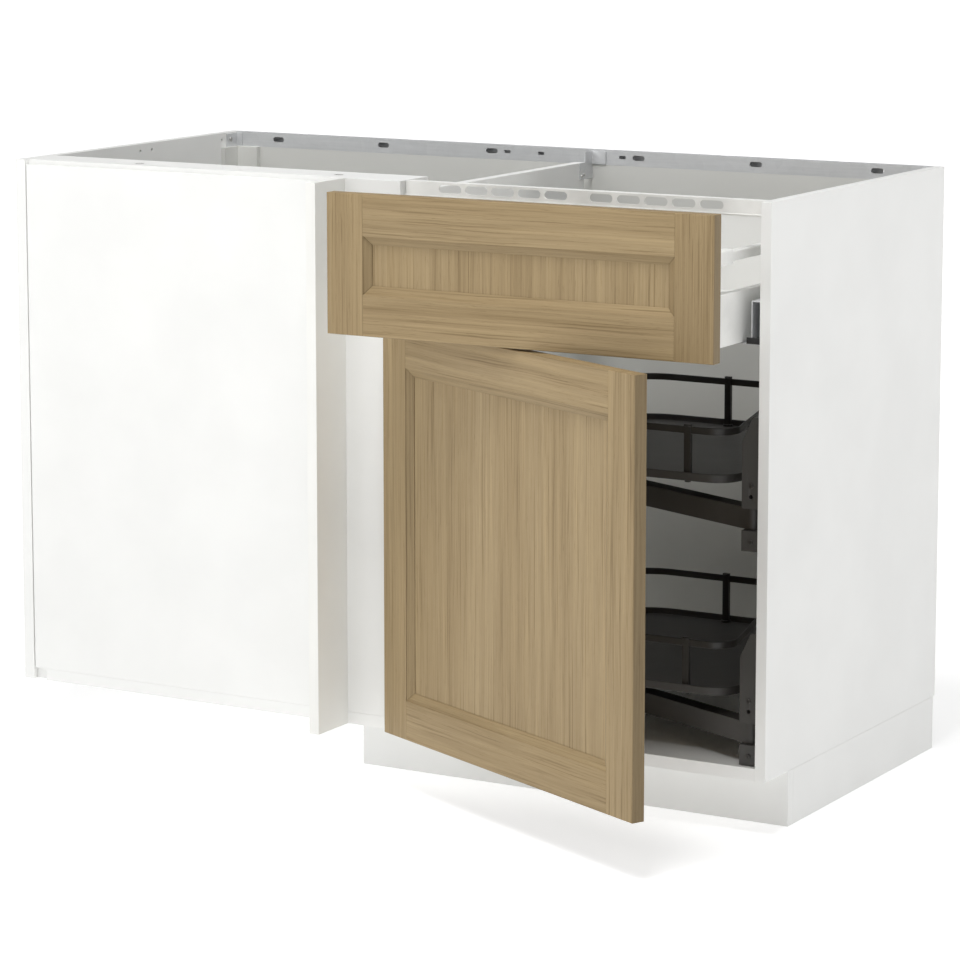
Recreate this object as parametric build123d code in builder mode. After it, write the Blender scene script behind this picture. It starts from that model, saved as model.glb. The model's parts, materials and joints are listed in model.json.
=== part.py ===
from build123d import *
from math import atan2, cos, degrees, hypot, radians, sin
import os

os.makedirs("parts", exist_ok=True)

# Overall sizes of the cabinet, in millimetres
cabinet_width = 1260
cabinet_depth = 590
carcass_height = 800
leg_height = 80
left_side_thickness = 18
right_side_thickness = 16
bottom_thickness = 18
stretcher_thickness = 18
stretcher_depth = 78
back_thickness = 8
back_recess = 10
overrun = 5
touch_gap = 0.3
seat_gap = 0.1

# Fronts: a drawer front over a door, each a frame with a recessed panel
front_width = 597
front_thickness = 20
front_gap = 2
front_reveal = 1.5
fronts_apart = 3
drawer_front_height = 197
door_height = 597
member_width = 58
bevel_width = 12
bevel_depth = 7
quirk_depth = 1.2
panel_setback = 8
panel_thickness = 7
panel_tongue = 6
panel_play = 0.2
edge_round = 1.2

# Blind half of the cabinet
blind_panel_thickness = 8
blind_panel_margin = 2
blind_panel_drop = 7
batten_width = 23
batten_thickness = 16
filler_thickness = 16
filler_depth = 80
stile_thickness = 16
stile_width = 108
door_overlay = 16.5
post_thickness = 16
post_depth = 80
corner_strip_leg = 45
corner_strip_thickness = 8

# Drawer compartment divider
divider_thickness = 16
divider_height = 198
divider_end_gap = 24

# Drawer box and runners
drawer_out = 147
drawer_back_clearance = 44
drawer_side_thickness = 13
drawer_side_wall = 1.2
drawer_side_height = 71
drawer_lift = 6
drawer_back_height = 129
drawer_back_thickness = 14
drawer_bottom_thickness = 12
drawer_bottom_rise = 6
gallery_size = 14
gallery_rise = 113
runner_space = 28
runner_back_clearance = 69
runner_start = 3
runner_metal = 1.5
runner_play = 0.3
runner_member_height = 33
runner_member_rise = 1
runner_foot_drop = 3
runner_foot_thickness = 2
runner_box_depth = 14
runner_box_height = 60.5
fixing_plate_metal = 1.5
fixing_plate_leg = 24
end_cap_height = 8.5
end_cap_drop = 1.2
end_cap_length = 2.5
end_cap_drawer_gap = 8

# Door hinges
door_angle = 25.5
hinge_inset = 58
cup_radius = 17.5
cup_depth = 12
cup_wall = 1.5
cup_edge_distance = 22.5
cup_flange_thickness = 1.2
cup_flange_height = 58
cup_flange_width = 26
hinge_plate_thickness = 3
hinge_plate_height = 50
hinge_plate_depth = 44
hinge_plate_setback = 26
hinge_arm_thickness = 10
hinge_arm_height = 16
hinge_arm_setback = 14
hinge_arm_length = 58
hinge_arm_root = 3
neck_inner_radius = 27
neck_outer_radius = 31
link_thickness = 3.7
link_height = 12
neck_start_angle = 22
neck_end_angle = 50
link_start_angle = 17.5
link_end_angle = 48.5
cup_axis_step = 20
link_flange_gap = 2

# Swing-out trays
tray_spacing = 300
tray_bottom_rise = 86
tray_front_setback = 30
tray_front_left = 454
tray_front_right = 44
tray_back_left = 449
tray_back_right = 159
tray_depth = 437
tray_front_left_round = 70
tray_front_right_round = 40
tray_back_round = 90
tray_floor_thickness = 3
tray_lip_height = 12
tray_lip_thickness = 3
rail_height_over_floor = 75
rail_band_height = 10
rail_band_thickness = 2.5
rail_inset = 9
tray_post_width = 10
tray_post_depth = 6
post_places_share = ((0.22, 0.80), (0.5,), (0.384,), (0.5,))
pivot_from_wall = 18
pivot_setback = 28
arm_length = 400
arm_angle = 23
arm_height = 30
arm_half_width = 13
arm_wall = 3
arm_boss_radius = 9.5
arm_rise = 30
pivot_pin_radius = 4
pin_play = 0.05
pin_engagement = 20
spindle_radius = 9
tray_boss_radius = 21
bracket_width = 28
bracket_depth = 40
bracket_setback = 8
bracket_height = 186
bracket_rise = 1
bracket_taper_height = 34
bracket_taper_width = 16
bracket_wall = 3.8
bracket_hole_radius = 3
bracket_hole_depth = 8
bracket_hole_rise = 76

# Rear suspension rail, galvanised steel
rail_height = 23
rail_metal = 2
rail_top_flange = 16
rail_low_flange = 9
rail_slot_length = 21
rail_slot_width = 8
rail_slot_places_share = (13 / 63, 33 / 63, 53 / 63)
rail_key_length = 11
rail_key_width = 5
rail_key_places_share = (83 / 1260, 17 / 105)
rail_slot_drop = 10
end_fitting_metal = 2
end_fitting_leg = 30
end_fitting_flange = 12
screw_head_radius = 4
screw_head_height = 1.6

# Ventilated front top rail, white steel
vent_rail_height = 22
vent_rail_setback = 12
vent_rail_metal = 1.5
vent_rail_top_flange = 16
vent_rail_low_flange = 12
vent_rail_end_gap = 3
vent_slot_length = 36
vent_slot_width = 11.5
vent_slot_middle_inset = 285.5
vent_slot_first = 35.5
vent_slot_pitch = 42.5
vent_slot_count = 5
vent_slot_drop = 9

# Divider bracket
divider_bracket_metal = 2
divider_bracket_height = 42
divider_bracket_leg = 16
divider_bracket_screw_drop = 16
divider_bracket_flange = 26
divider_bracket_flange_height = 20

# Fasteners and holes in the boards
cam_radius = 7.5
cam_depth = 13
cam_slot_width = 2
cam_slot_length = 8
cam_slot_depth = 3
cam_places_share = (0.28, 0.81)
cam_setback = 36
fitting_notch_places_share = (0.24, 0.57)
fitting_notch_length = 14
fitting_notch_width = 5
fitting_notch_depth = 6
fitting_notch_setback = 12
system_hole_radius = 2.5
system_hole_depth = 10
system_hole_drop = 11
system_hole_places = (290, 258, 61, 29)
low_hole_drop = 51
low_hole_place = 78

# Legs and plinth
leg_left_inset = 110
leg_middle_inset = 38
leg_right_inset = 80
leg_blind_front_setback = 360
leg_front_setback = 130
leg_back_inset = 60
leg_plate_size = 56
leg_plate_thickness = 4
leg_tube_radius = 20
leg_tube_bore_radius = 15
leg_tube_length = 46
leg_rod_play = 0.05
foot_radius = 27
foot_thickness = 8
foot_knob_radius = 22
foot_knob_height = 14
foot_grip_count = 8
foot_grip_radius = 3
plinth_thickness = 16
plinth_setback = 75
plinth_overlap = 4
plinth_back_gap = 6
clip_ring_wall = 3
clip_ring_height = 12
clip_ring_play = 0.1
clip_stem_width = 14
clip_low_rise = 34
clip_high_rise = 52

# Reference planes worked out from the driving sizes
door_reach = front_gap + front_thickness + front_width * sin(radians(door_angle))
x_left = -cabinet_width / 2
x_right = cabinet_width / 2
y_front = (door_reach - cabinet_depth) / 2
y_back = y_front + cabinet_depth
z_bottom = leg_height
z_top = leg_height + carcass_height
x_in_left = x_left + left_side_thickness
x_in_right = x_right - right_side_thickness
z_floor = z_bottom + bottom_thickness
z_under_top = z_top - stretcher_thickness
y_back_face = y_back - back_recess - back_thickness
x_fronts = x_right - front_reveal - front_width
x_stile_right = x_fronts + door_overlay
x_filler = x_stile_right - stile_width
z_drawer_front = z_top - front_reveal - drawer_front_height
z_door = z_drawer_front - fronts_apart - door_height
y_fronts = y_front - front_gap - front_thickness


def block(x_from, x_to, y_from, y_to, z_from, z_to, mode=Mode.ADD):
    """Add or cut a box between two corners."""
    with BuildSketch(Plane.XY.offset(z_from)) as outline:
        with Locations(((x_from + x_to) / 2, (y_from + y_to) / 2)):
            Rectangle(x_to - x_from, y_to - y_from)
    extrude(outline.sketch, amount=z_to - z_from, mode=mode)


def rod(x, y, z_from, z_to, radius, mode=Mode.ADD):
    """Add or cut an upright round bar."""
    with BuildSketch(Plane.XY.offset(z_from)) as outline:
        with Locations((x, y)):
            Circle(radius)
    extrude(outline.sketch, amount=z_to - z_from, mode=mode)


def save(piece, name):
    """Label a finished piece and write its file."""
    piece.part.label = name
    export_step(piece.part, "parts/" + name + ".step")


# Left side panel with its rows of fitting holes near the top
with BuildPart() as left_side_panel:
    block(x_left, x_in_left, y_front, y_back, z_bottom, z_top)
    with BuildSketch(Plane.YZ.offset(x_in_left)) as left_holes:
        with Locations(*[(y_back - place, z_top - system_hole_drop) for place in system_hole_places]):
            Circle(system_hole_radius)
        with Locations((y_back - low_hole_place, z_top - low_hole_drop)):
            Circle(system_hole_radius)
    extrude(left_holes.sketch, amount=-system_hole_depth, mode=Mode.SUBTRACT)
save(left_side_panel, "left_side_panel")

# Right side panel
with BuildPart() as right_side_panel:
    block(x_in_right, x_right, y_front, y_back, z_bottom, z_top)
save(right_side_panel, "right_side_panel")

# Bottom panel, notched at the front left for the batten
with BuildPart() as bottom_panel:
    block(x_in_left, x_in_right, y_front, y_back_face, z_bottom, z_floor)
    block(x_in_left - overrun, x_in_left + batten_width, y_front - overrun,
          y_front + blind_panel_thickness + batten_thickness,
          z_bottom - overrun, z_floor + overrun, mode=Mode.SUBTRACT)
save(bottom_panel, "bottom_panel")

# Back panel, under the rear rail
with BuildPart() as back_panel:
    block(x_in_left, x_in_right, y_back_face, y_back_face + back_thickness,
          z_bottom, z_top - rail_height)
save(back_panel, "back_panel")

# Angled strip in the rear left corner
with BuildPart() as rear_corner_strip:
    block(x_in_left, x_in_left + corner_strip_leg, y_back_face - corner_strip_thickness,
          y_back_face, z_floor, z_top - rail_height)
    block(x_in_left, x_in_left + corner_strip_thickness, y_back_face - corner_strip_leg,
          y_back_face, z_floor, z_top - rail_height)
save(rear_corner_strip, "rear_corner_strip")

# Fixed front of the blind half
with BuildPart() as blind_front_panel:
    block(x_in_left + blind_panel_margin, x_filler, y_front, y_front + blind_panel_thickness,
          z_floor, z_top - blind_panel_drop)
save(blind_front_panel, "blind_front_panel")

# Upright batten behind the blind front, beside the left panel
with BuildPart() as blind_front_batten:
    block(x_in_left, x_in_left + batten_width, y_front + blind_panel_thickness,
          y_front + blind_panel_thickness + batten_thickness, z_bottom, z_under_top)
save(blind_front_batten, "blind_front_batten")

# Filler panel that stands proud of the front
with BuildPart() as filler_panel:
    block(x_filler, x_filler + filler_thickness, y_front - filler_depth, y_front,
          z_bottom, z_top)
save(filler_panel, "filler_panel")

# Front stile between the filler and the door opening
with BuildPart() as front_stile:
    block(x_filler, x_stile_right, y_front, y_front + stile_thickness, z_floor, z_top)
save(front_stile, "front_stile")

# Hinge post behind the stile
with BuildPart() as hinge_post:
    block(x_stile_right - post_thickness, x_stile_right, y_front + stile_thickness,
          y_front + stile_thickness + post_depth, z_floor, z_under_top)
save(hinge_post, "hinge_post")

# Top stretcher over the blind half, with fitting slots and cam bores
y_stretcher = y_front + blind_panel_thickness
stretcher_length = x_stile_right - x_in_left
cam_places = [(x_in_left + share * stretcher_length, y_front + cam_setback)
              for share in cam_places_share]
notch_places = [(x_in_left + share * stretcher_length, y_stretcher + fitting_notch_setback / 2)
                for share in fitting_notch_places_share]
with BuildPart() as top_stretcher:
    block(x_in_left, x_filler, y_stretcher, y_front + stretcher_depth, z_under_top, z_top)
    block(x_filler - overrun, x_stile_right, y_front + stile_thickness,
          y_front + stretcher_depth, z_under_top, z_top)
    with BuildSketch(Plane.XY.offset(z_top)) as cam_bores:
        with Locations(*cam_places):
            Circle(cam_radius)
    extrude(cam_bores.sketch, amount=-cam_depth, mode=Mode.SUBTRACT)
    with BuildSketch(Plane.XY.offset(z_top)) as fitting_notches:
        with Locations(*notch_places):
            SlotOverall(fitting_notch_length, fitting_notch_width)
    extrude(fitting_notches.sketch, amount=-fitting_notch_depth, mode=Mode.SUBTRACT)
save(top_stretcher, "top_stretcher")

# Round cam fasteners with a driver slot, set flush in the stretcher
with BuildPart() as cam_fasteners:
    with BuildSketch(Plane.XY.offset(z_top)) as cam_discs:
        with Locations(*cam_places):
            Circle(cam_radius - seat_gap)
    extrude(cam_discs.sketch, amount=-cam_depth)
    with BuildSketch(Plane.XY.offset(z_top)) as cam_slots:
        with Locations(*cam_places):
            Rectangle(cam_slot_length, cam_slot_width)
    extrude(cam_slots.sketch, amount=-cam_slot_depth, mode=Mode.SUBTRACT)
save(cam_fasteners, "cam_fasteners")

# Ventilated top rail over the drawer, folded steel with ten slots
x_vent_middle = x_in_right - vent_slot_middle_inset
x_vent = x_stile_right + vent_rail_end_gap
y_vent = y_front + vent_rail_setback
with BuildPart() as front_top_rail:
    block(x_vent, x_in_right, y_vent, y_vent + vent_rail_metal,
          z_top - vent_rail_height, z_top)
    block(x_vent, x_in_right, y_vent, y_vent + vent_rail_top_flange,
          z_top - vent_rail_metal, z_top)
    block(x_stile_right, x_in_right, y_vent, y_vent + vent_rail_low_flange,
          z_top - vent_rail_height, z_top - vent_rail_height + vent_rail_metal)
    with BuildSketch(Plane.XZ.offset(-y_vent)) as vent_slots:
        for side in (-1, 1):
            for index in range(vent_slot_count):
                reach = vent_slot_first + vent_slot_pitch * index
                with Locations((x_vent_middle + side * reach, z_top - vent_slot_drop)):
                    SlotOverall(vent_slot_length, vent_slot_width)
    extrude(vent_slots.sketch, amount=-overrun, both=True, mode=Mode.SUBTRACT)
save(front_top_rail, "front_top_rail")

# Rear suspension rail, folded steel with oblong slots and small key holes
with BuildPart() as rear_suspension_rail:
    block(x_in_left, x_in_right, y_back_face, y_back_face + rail_metal,
          z_top - rail_height, z_top)
    block(x_in_left, x_in_right, y_back_face, y_back_face + rail_top_flange,
          z_top - rail_metal, z_top)
    block(x_in_left, x_in_right, y_back_face, y_back_face + rail_low_flange,
          z_top - rail_height, z_top - rail_height + rail_metal)
    with BuildSketch(Plane.XZ.offset(-y_back_face)) as rail_slots:
        for side in (-1, 1):
            for share in rail_slot_places_share:
                with Locations((side * share * x_right, z_top - rail_slot_drop)):
                    SlotOverall(rail_slot_length, rail_slot_width)
            for share in rail_key_places_share:
                with Locations((side * share * x_right, z_top - rail_slot_drop)):
                    Rectangle(rail_key_length, rail_key_width)
    extrude(rail_slots.sketch, amount=-overrun, both=True, mode=Mode.SUBTRACT)
save(rear_suspension_rail, "rear_suspension_rail")

# Folded end fittings that hold the rear rail to both side panels
with BuildPart() as rail_end_fittings:
    for wall, side in ((x_in_left, 1), (x_in_right, -1)):
        inner = wall + side * end_fitting_metal
        flange = wall + side * end_fitting_flange
        block(min(wall, inner), max(wall, inner), y_back_face - end_fitting_leg, y_back_face,
              z_top - rail_height, z_top - rail_metal)
        block(min(wall, flange), max(wall, flange), y_back_face - end_fitting_metal, y_back_face,
              z_top - rail_height, z_top - rail_metal)
save(rail_end_fittings, "rail_end_fittings")

# Divider that carries the left drawer runner
y_divider_front = y_front + stile_thickness + post_depth
y_divider_back = y_back_face - divider_end_gap
with BuildPart() as drawer_divider:
    block(x_stile_right - divider_thickness, x_stile_right, y_divider_front, y_divider_back,
          z_under_top - divider_height, z_under_top)
save(drawer_divider, "drawer_divider")

# Folded bracket between the divider and the rear rail
z_bracket_top = z_top - rail_metal
with BuildPart() as divider_bracket:
    block(x_stile_right, x_stile_right + divider_bracket_metal,
          y_divider_back - divider_bracket_leg, y_back_face,
          z_bracket_top - divider_bracket_height, z_under_top)
    block(x_stile_right, x_stile_right + divider_bracket_metal,
          y_divider_back, y_back_face, z_under_top - overrun, z_bracket_top)
    block(x_stile_right, x_stile_right + divider_bracket_flange,
          y_back_face - divider_bracket_metal, y_back_face,
          z_bracket_top - divider_bracket_flange_height, z_bracket_top)
save(divider_bracket, "divider_bracket")

# Pan-head screws on the end fittings and the divider bracket
with BuildPart() as fixing_screws:
    z_screw = z_top - rail_height / 2
    y_screw = y_back_face - end_fitting_leg * 2 / 3
    for face, side in ((x_in_left + end_fitting_metal, 1), (x_in_right - end_fitting_metal, -1)):
        with BuildSketch(Plane.YZ.offset(face)) as screw_head:
            with Locations((y_screw, z_screw)):
                Circle(screw_head_radius)
        extrude(screw_head.sketch, amount=side * screw_head_height)
    with BuildSketch(Plane.YZ.offset(x_stile_right + divider_bracket_metal)) as bracket_heads:
        with Locations((y_divider_back - divider_bracket_leg / 2,
                        z_under_top - divider_bracket_screw_drop)):
            Circle(screw_head_radius)
    extrude(bracket_heads.sketch, amount=screw_head_height)
save(fixing_screws, "fixing_screws")


def leaf_plane(x, y, z, angle):
    """Plane of a front's outer face, seen from outside, opened by an angle."""
    turn = radians(angle)
    return Plane(origin=(x, y, z), x_dir=(cos(turn), -sin(turn), 0),
                 z_dir=(-sin(turn), -cos(turn), 0))


def inset_rectangle(plane, width, height, inset):
    """Face of a front less an inset on every side."""
    with BuildSketch(plane) as face:
        with Locations((width / 2, height / 2)):
            Rectangle(width - 2 * inset, height - 2 * inset)
    return face.sketch


def framed_front(name, plane, width, height, bore_heights):
    """Stiles, rails and panel of one frame-and-panel front."""
    opening = member_width + bevel_width
    tongue = opening - panel_tongue
    with BuildPart() as ring:
        extrude(inset_rectangle(plane, width, height, 0), amount=-front_thickness)
        outer_edges = ring.faces().sort_by(Axis(plane.origin, plane.z_dir))[-1].edges()
        fillet(outer_edges, edge_round)
        extrude(inset_rectangle(plane, width, height, opening),
                amount=-front_thickness - overrun, mode=Mode.SUBTRACT)
        extrude(inset_rectangle(plane, width, height, member_width), amount=-quirk_depth,
                mode=Mode.SUBTRACT)
        loft([inset_rectangle(plane.offset(-quirk_depth), width, height, member_width).face(),
              inset_rectangle(plane.offset(-bevel_depth), width, height, opening).face()],
             mode=Mode.SUBTRACT)
        extrude(inset_rectangle(plane.offset(-panel_setback), width, height, tongue - panel_play),
                amount=-panel_thickness, mode=Mode.SUBTRACT)
        for bore_height in bore_heights:
            with BuildSketch(plane.offset(-front_thickness)) as bore:
                with Locations((cup_edge_distance, bore_height)):
                    Circle(cup_radius + seat_gap)
            extrude(bore.sketch, amount=cup_depth + seat_gap, mode=Mode.SUBTRACT)
    with BuildPart() as stiles:
        with BuildSketch(plane) as stile_outline:
            Polygon((0, 0), (member_width, 0), (member_width, member_width), (opening, opening),
                    (opening, height - opening), (member_width, height - member_width),
                    (member_width, height), (0, height), align=None)
            Polygon((width, 0), (width, height), (width - member_width, height),
                    (width - member_width, height - member_width),
                    (width - opening, height - opening), (width - opening, opening),
                    (width - member_width, member_width), (width - member_width, 0), align=None)
        extrude(stile_outline.sketch, amount=-front_thickness)
        add(ring.part, mode=Mode.INTERSECT)
    with BuildPart() as rails:
        with BuildSketch(plane) as rail_outline:
            Polygon((member_width, 0), (width - member_width, 0),
                    (width - member_width, member_width), (width - opening, opening),
                    (opening, opening), (member_width, member_width), align=None)
            Polygon((member_width, height), (member_width, height - member_width),
                    (opening, height - opening), (width - opening, height - opening),
                    (width - member_width, height - member_width),
                    (width - member_width, height), align=None)
        extrude(rail_outline.sketch, amount=-front_thickness)
        add(ring.part, mode=Mode.INTERSECT)
    with BuildPart() as panel:
        extrude(inset_rectangle(plane.offset(-panel_setback), width, height, tongue),
                amount=-panel_thickness)
    save(stiles, name + "_stiles")
    save(rails, name + "_rails")
    save(panel, name + "_panel")


# Drawer front, shown pulled out
y_drawer_front = y_fronts - drawer_out
drawer_plane = leaf_plane(x_fronts, y_drawer_front, z_drawer_front, 0)
framed_front("drawer_front", drawer_plane, front_width, drawer_front_height, ())

# Door, shown ajar about its front left edge
hinge_heights = (hinge_inset, door_height - hinge_inset)
door_plane = leaf_plane(x_fronts, y_fronts, z_door, door_angle)
framed_front("door", door_plane, front_width, door_height, hinge_heights)

# Drawer box with hollow steel sides, between the divider and the right panel
x_drawer_left = x_stile_right + runner_space
x_drawer_right = x_in_right - runner_space
y_drawer = y_drawer_front + front_thickness
y_drawer_end = y_back_face - drawer_back_clearance - drawer_out
z_drawer = z_drawer_front + drawer_lift
z_drawer_side_top = z_drawer + drawer_side_height
with BuildPart() as drawer_sides:
    for x_from in (x_drawer_left, x_drawer_right - drawer_side_thickness):
        x_to = x_from + drawer_side_thickness
        block(x_from, x_to, y_drawer, y_drawer_end, z_drawer, z_drawer_side_top)
        block(x_from + drawer_side_wall, x_to - drawer_side_wall, y_drawer - overrun,
              y_drawer_end + overrun, z_drawer - overrun, z_drawer_side_top - drawer_side_wall,
              mode=Mode.SUBTRACT)
save(drawer_sides, "drawer_sides")

x_box_left = x_drawer_left + drawer_side_thickness
x_box_right = x_drawer_right - drawer_side_thickness
y_box_end = y_drawer_end - drawer_back_thickness
with BuildPart() as drawer_back:
    block(x_box_left, x_box_right, y_box_end, y_drawer_end, z_drawer,
          z_drawer + drawer_back_height)
    block(x_drawer_left, x_drawer_right, y_box_end, y_drawer_end, z_drawer_side_top,
          z_drawer + drawer_back_height)
save(drawer_back, "drawer_back")

z_drawer_floor = z_drawer + drawer_bottom_rise + drawer_bottom_thickness
with BuildPart() as drawer_bottom:
    block(x_box_left, x_box_right, y_drawer, y_box_end, z_drawer + drawer_bottom_rise,
          z_drawer_floor)
save(drawer_bottom, "drawer_bottom")

# Gallery bars above the drawer sides
with BuildPart() as drawer_gallery_rails:
    for x_from in (x_drawer_left, x_drawer_right - gallery_size):
        block(x_from, x_from + gallery_size, y_drawer, y_box_end,
              z_drawer + gallery_rise, z_drawer + gallery_rise + gallery_size)
save(drawer_gallery_rails, "drawer_gallery_rails")

# Folded plates that hold the drawer front to the sides
with BuildPart() as drawer_front_fixings:
    for face, side in ((x_box_left, 1), (x_box_right, -1)):
        thin = face + side * fixing_plate_metal
        wide = face + side * fixing_plate_leg
        block(min(face, thin), max(face, thin), y_drawer, y_drawer + fixing_plate_leg,
              z_drawer_floor, z_drawer_side_top)
        block(min(face, wide), max(face, wide), y_drawer, y_drawer + fixing_plate_metal,
              z_drawer_floor, z_drawer_side_top)
save(drawer_front_fixings, "drawer_front_fixings")

# Three-part runners: a blade on the cabinet member, then two inverted channels over it
member_half_width = drawer_side_thickness / 2 - drawer_side_wall
middle_half_width = member_half_width - runner_metal - runner_play
blade_half_width = middle_half_width - runner_metal - runner_play
z_member_low = z_drawer + runner_member_rise
z_member_top = z_member_low + runner_member_height
z_middle_top = z_member_top - runner_metal - runner_play
z_blade_top = z_middle_top - runner_metal - runner_play
z_foot = z_drawer - runner_foot_drop
runner_length = y_back_face - runner_back_clearance - y_front - runner_start
runner_sides = ((x_stile_right, 1, x_drawer_left + drawer_side_thickness / 2),
                (x_in_right, -1, x_drawer_right - drawer_side_thickness / 2))


def inverted_channel(middle, half_width, y_from, z_low, z_high):
    """A channel of runner steel, open below, round a middle line."""
    block(middle - half_width, middle + half_width, y_from, y_from + runner_length, z_low, z_high)
    block(middle - half_width + runner_metal, middle + half_width - runner_metal,
          y_from - overrun, y_from + runner_length + overrun, z_low - overrun,
          z_high - runner_metal, mode=Mode.SUBTRACT)


with BuildPart() as runner_cabinet_members:
    y_from = y_front + runner_start
    y_to = y_from + runner_length
    for wall, side, middle in runner_sides:
        box_face = wall + side * runner_box_depth
        foot_end = middle + side * blade_half_width
        block(min(wall, foot_end), max(wall, foot_end), y_from, y_to, z_foot,
              z_foot + runner_foot_thickness)
        block(middle - blade_half_width, middle + blade_half_width, y_from, y_to, z_foot,
              z_blade_top)
        block(min(wall, box_face), max(wall, box_face), y_from, y_to, z_foot,
              z_foot + runner_box_height)
        block(min(wall, box_face) + runner_metal, max(wall, box_face) - runner_metal,
              y_from - overrun, y_to + overrun, z_foot + runner_foot_thickness,
              z_foot + runner_box_height - runner_metal, mode=Mode.SUBTRACT)
save(runner_cabinet_members, "runner_cabinet_members")

with BuildPart() as runner_middle_members:
    for wall, side, middle in runner_sides:
        inverted_channel(middle, middle_half_width, y_front + runner_start - drawer_out / 2,
                         z_member_low, z_middle_top)
save(runner_middle_members, "runner_middle_members")

with BuildPart() as runner_drawer_members:
    for wall, side, middle in runner_sides:
        inverted_channel(middle, member_half_width, y_front + runner_start - drawer_out,
                         z_member_low, z_member_top)
save(runner_drawer_members, "runner_drawer_members")

# Dark caps on the front ends of the cabinet members
with BuildPart() as runner_end_caps:
    z_cap = z_drawer - end_cap_drop
    for wall, side, drawer_face in ((x_stile_right, 1, x_drawer_left),
                                    (x_in_right, -1, x_drawer_right)):
        cap_end = drawer_face - side * end_cap_drawer_gap
        block(min(wall, cap_end), max(wall, cap_end), y_front + runner_start - end_cap_length,
              y_front + runner_start, z_cap, z_cap + end_cap_height)
save(runner_end_caps, "runner_end_caps")

# Concealed hinges: plate and necked arm on the post, link, cup in the door. The link turns
# about the door's front left edge, and the cup turns about a second axis in front of it.
x_plate = x_stile_right + hinge_plate_thickness
y_arm = y_front + hinge_arm_setback
link_inner_radius = neck_outer_radius + touch_gap
link_outer_radius = link_inner_radius + link_thickness
x_cup_axis = x_fronts - cup_axis_step * sin(radians(door_angle))
y_cup_axis = y_fronts - cup_axis_step * cos(radians(door_angle))
link_relief_radius = cup_axis_step + front_thickness + cup_flange_thickness + link_flange_gap


def ring_sector(inner, outer, angle_from, angle_to):
    """Draw a sector of a ring round the door's pivot line in the current sketch."""
    with BuildLine() as sector:
        wide_arc = CenterArc((x_fronts, y_fronts), outer, angle_from, angle_to - angle_from)
        tight_arc = CenterArc((x_fronts, y_fronts), inner, angle_from, angle_to - angle_from)
        Line(wide_arc @ 0, tight_arc @ 0)
        Line(wide_arc @ 1, tight_arc @ 1)
    make_face(sector.edges())


def on_ring(radius, angle):
    """Point at a radius and an angle from the door's pivot line."""
    return (x_fronts + radius * cos(radians(angle)), y_fronts + radius * sin(radians(angle)))


with BuildPart() as hinge_plates:
    for bore_height in hinge_heights:
        z_hinge = z_door + bore_height
        block(x_stile_right, x_plate, y_front + hinge_plate_setback,
              y_front + hinge_plate_setback + hinge_plate_depth,
              z_hinge - hinge_plate_height / 2, z_hinge + hinge_plate_height / 2)
save(hinge_plates, "hinge_plates")

with BuildPart() as hinge_arms:
    for bore_height in hinge_heights:
        z_hinge = z_door + bore_height
        with BuildSketch(Plane.XY.offset(z_hinge - link_height / 2)) as neck:
            ring_sector(neck_inner_radius, neck_outer_radius, neck_start_angle, neck_end_angle)
            Polygon(on_ring(neck_inner_radius, neck_end_angle),
                    on_ring(neck_outer_radius, neck_end_angle),
                    (x_plate + hinge_arm_root, y_arm), (x_plate, y_arm), align=None)
        extrude(neck.sketch, amount=link_height)
        block(x_plate, x_plate + hinge_arm_thickness, y_arm, y_arm + hinge_arm_length,
              z_hinge - hinge_arm_height / 2, z_hinge + hinge_arm_height / 2)
save(hinge_arms, "hinge_arms")

with BuildPart() as hinge_links:
    for bore_height in hinge_heights:
        with BuildSketch(Plane.XY.offset(z_door + bore_height - link_height / 2)) as link:
            ring_sector(link_inner_radius, link_outer_radius, link_start_angle - door_angle,
                        link_end_angle - door_angle)
            with Locations((x_cup_axis, y_cup_axis)):
                Circle(link_relief_radius, mode=Mode.SUBTRACT)
        extrude(link.sketch, amount=link_height)
save(hinge_links, "hinge_links")

cup_face = door_plane.offset(-front_thickness)
with BuildPart() as hinge_cups:
    for bore_height in hinge_heights:
        with BuildSketch(cup_face) as flange:
            with Locations((cup_edge_distance, bore_height)):
                SlotOverall(cup_flange_height, cup_flange_width, rotation=90)
                Circle(cup_radius + cup_wall)
        extrude(flange.sketch, amount=-cup_flange_thickness)
        with BuildSketch(cup_face) as cup:
            with Locations((cup_edge_distance, bore_height)):
                Circle(cup_radius)
        extrude(cup.sketch, amount=cup_depth)
        with BuildSketch(cup_face.offset(-cup_flange_thickness)) as well:
            with Locations((cup_edge_distance, bore_height)):
                Circle(cup_radius - cup_wall)
        extrude(well.sketch, amount=cup_depth - cup_wall + cup_flange_thickness,
                mode=Mode.SUBTRACT)
save(hinge_cups, "hinge_cups")

# Swing-out trays: wall bracket, pin, arm, spindle, floor, posts and railing, twice
x_pivot = x_in_right - pivot_from_wall
y_pivot = y_front + pivot_setback
x_spindle = x_pivot - arm_length * cos(radians(arm_angle))
y_spindle = y_pivot + arm_length * sin(radians(arm_angle))
y_tray = y_front + tray_front_setback
tray_corners = ((x_in_right - tray_front_left, y_tray),
                (x_in_right - tray_front_right, y_tray),
                (x_in_right - tray_back_right, y_tray + tray_depth),
                (x_in_right - tray_back_left, y_tray + tray_depth))


def tray_face(z, inset):
    """Outline of a tray at a height, less an inset."""
    with BuildSketch(Plane.XY.offset(z)) as face:
        Polygon(*tray_corners, align=None)
        corners = face.vertices().sort_by(Axis.Y)
        front_corners = corners[:2].sort_by(Axis.X)
        fillet(front_corners[0], tray_front_left_round)
        corners = face.vertices().sort_by(Axis.Y)
        fillet(corners[:3].sort_by(Axis.X)[-1], tray_front_right_round)
        fillet(face.vertices().sort_by(Axis.Y)[-2:], tray_back_round)
        if inset:
            offset(amount=-inset, mode=Mode.REPLACE)
    return face.sketch


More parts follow.
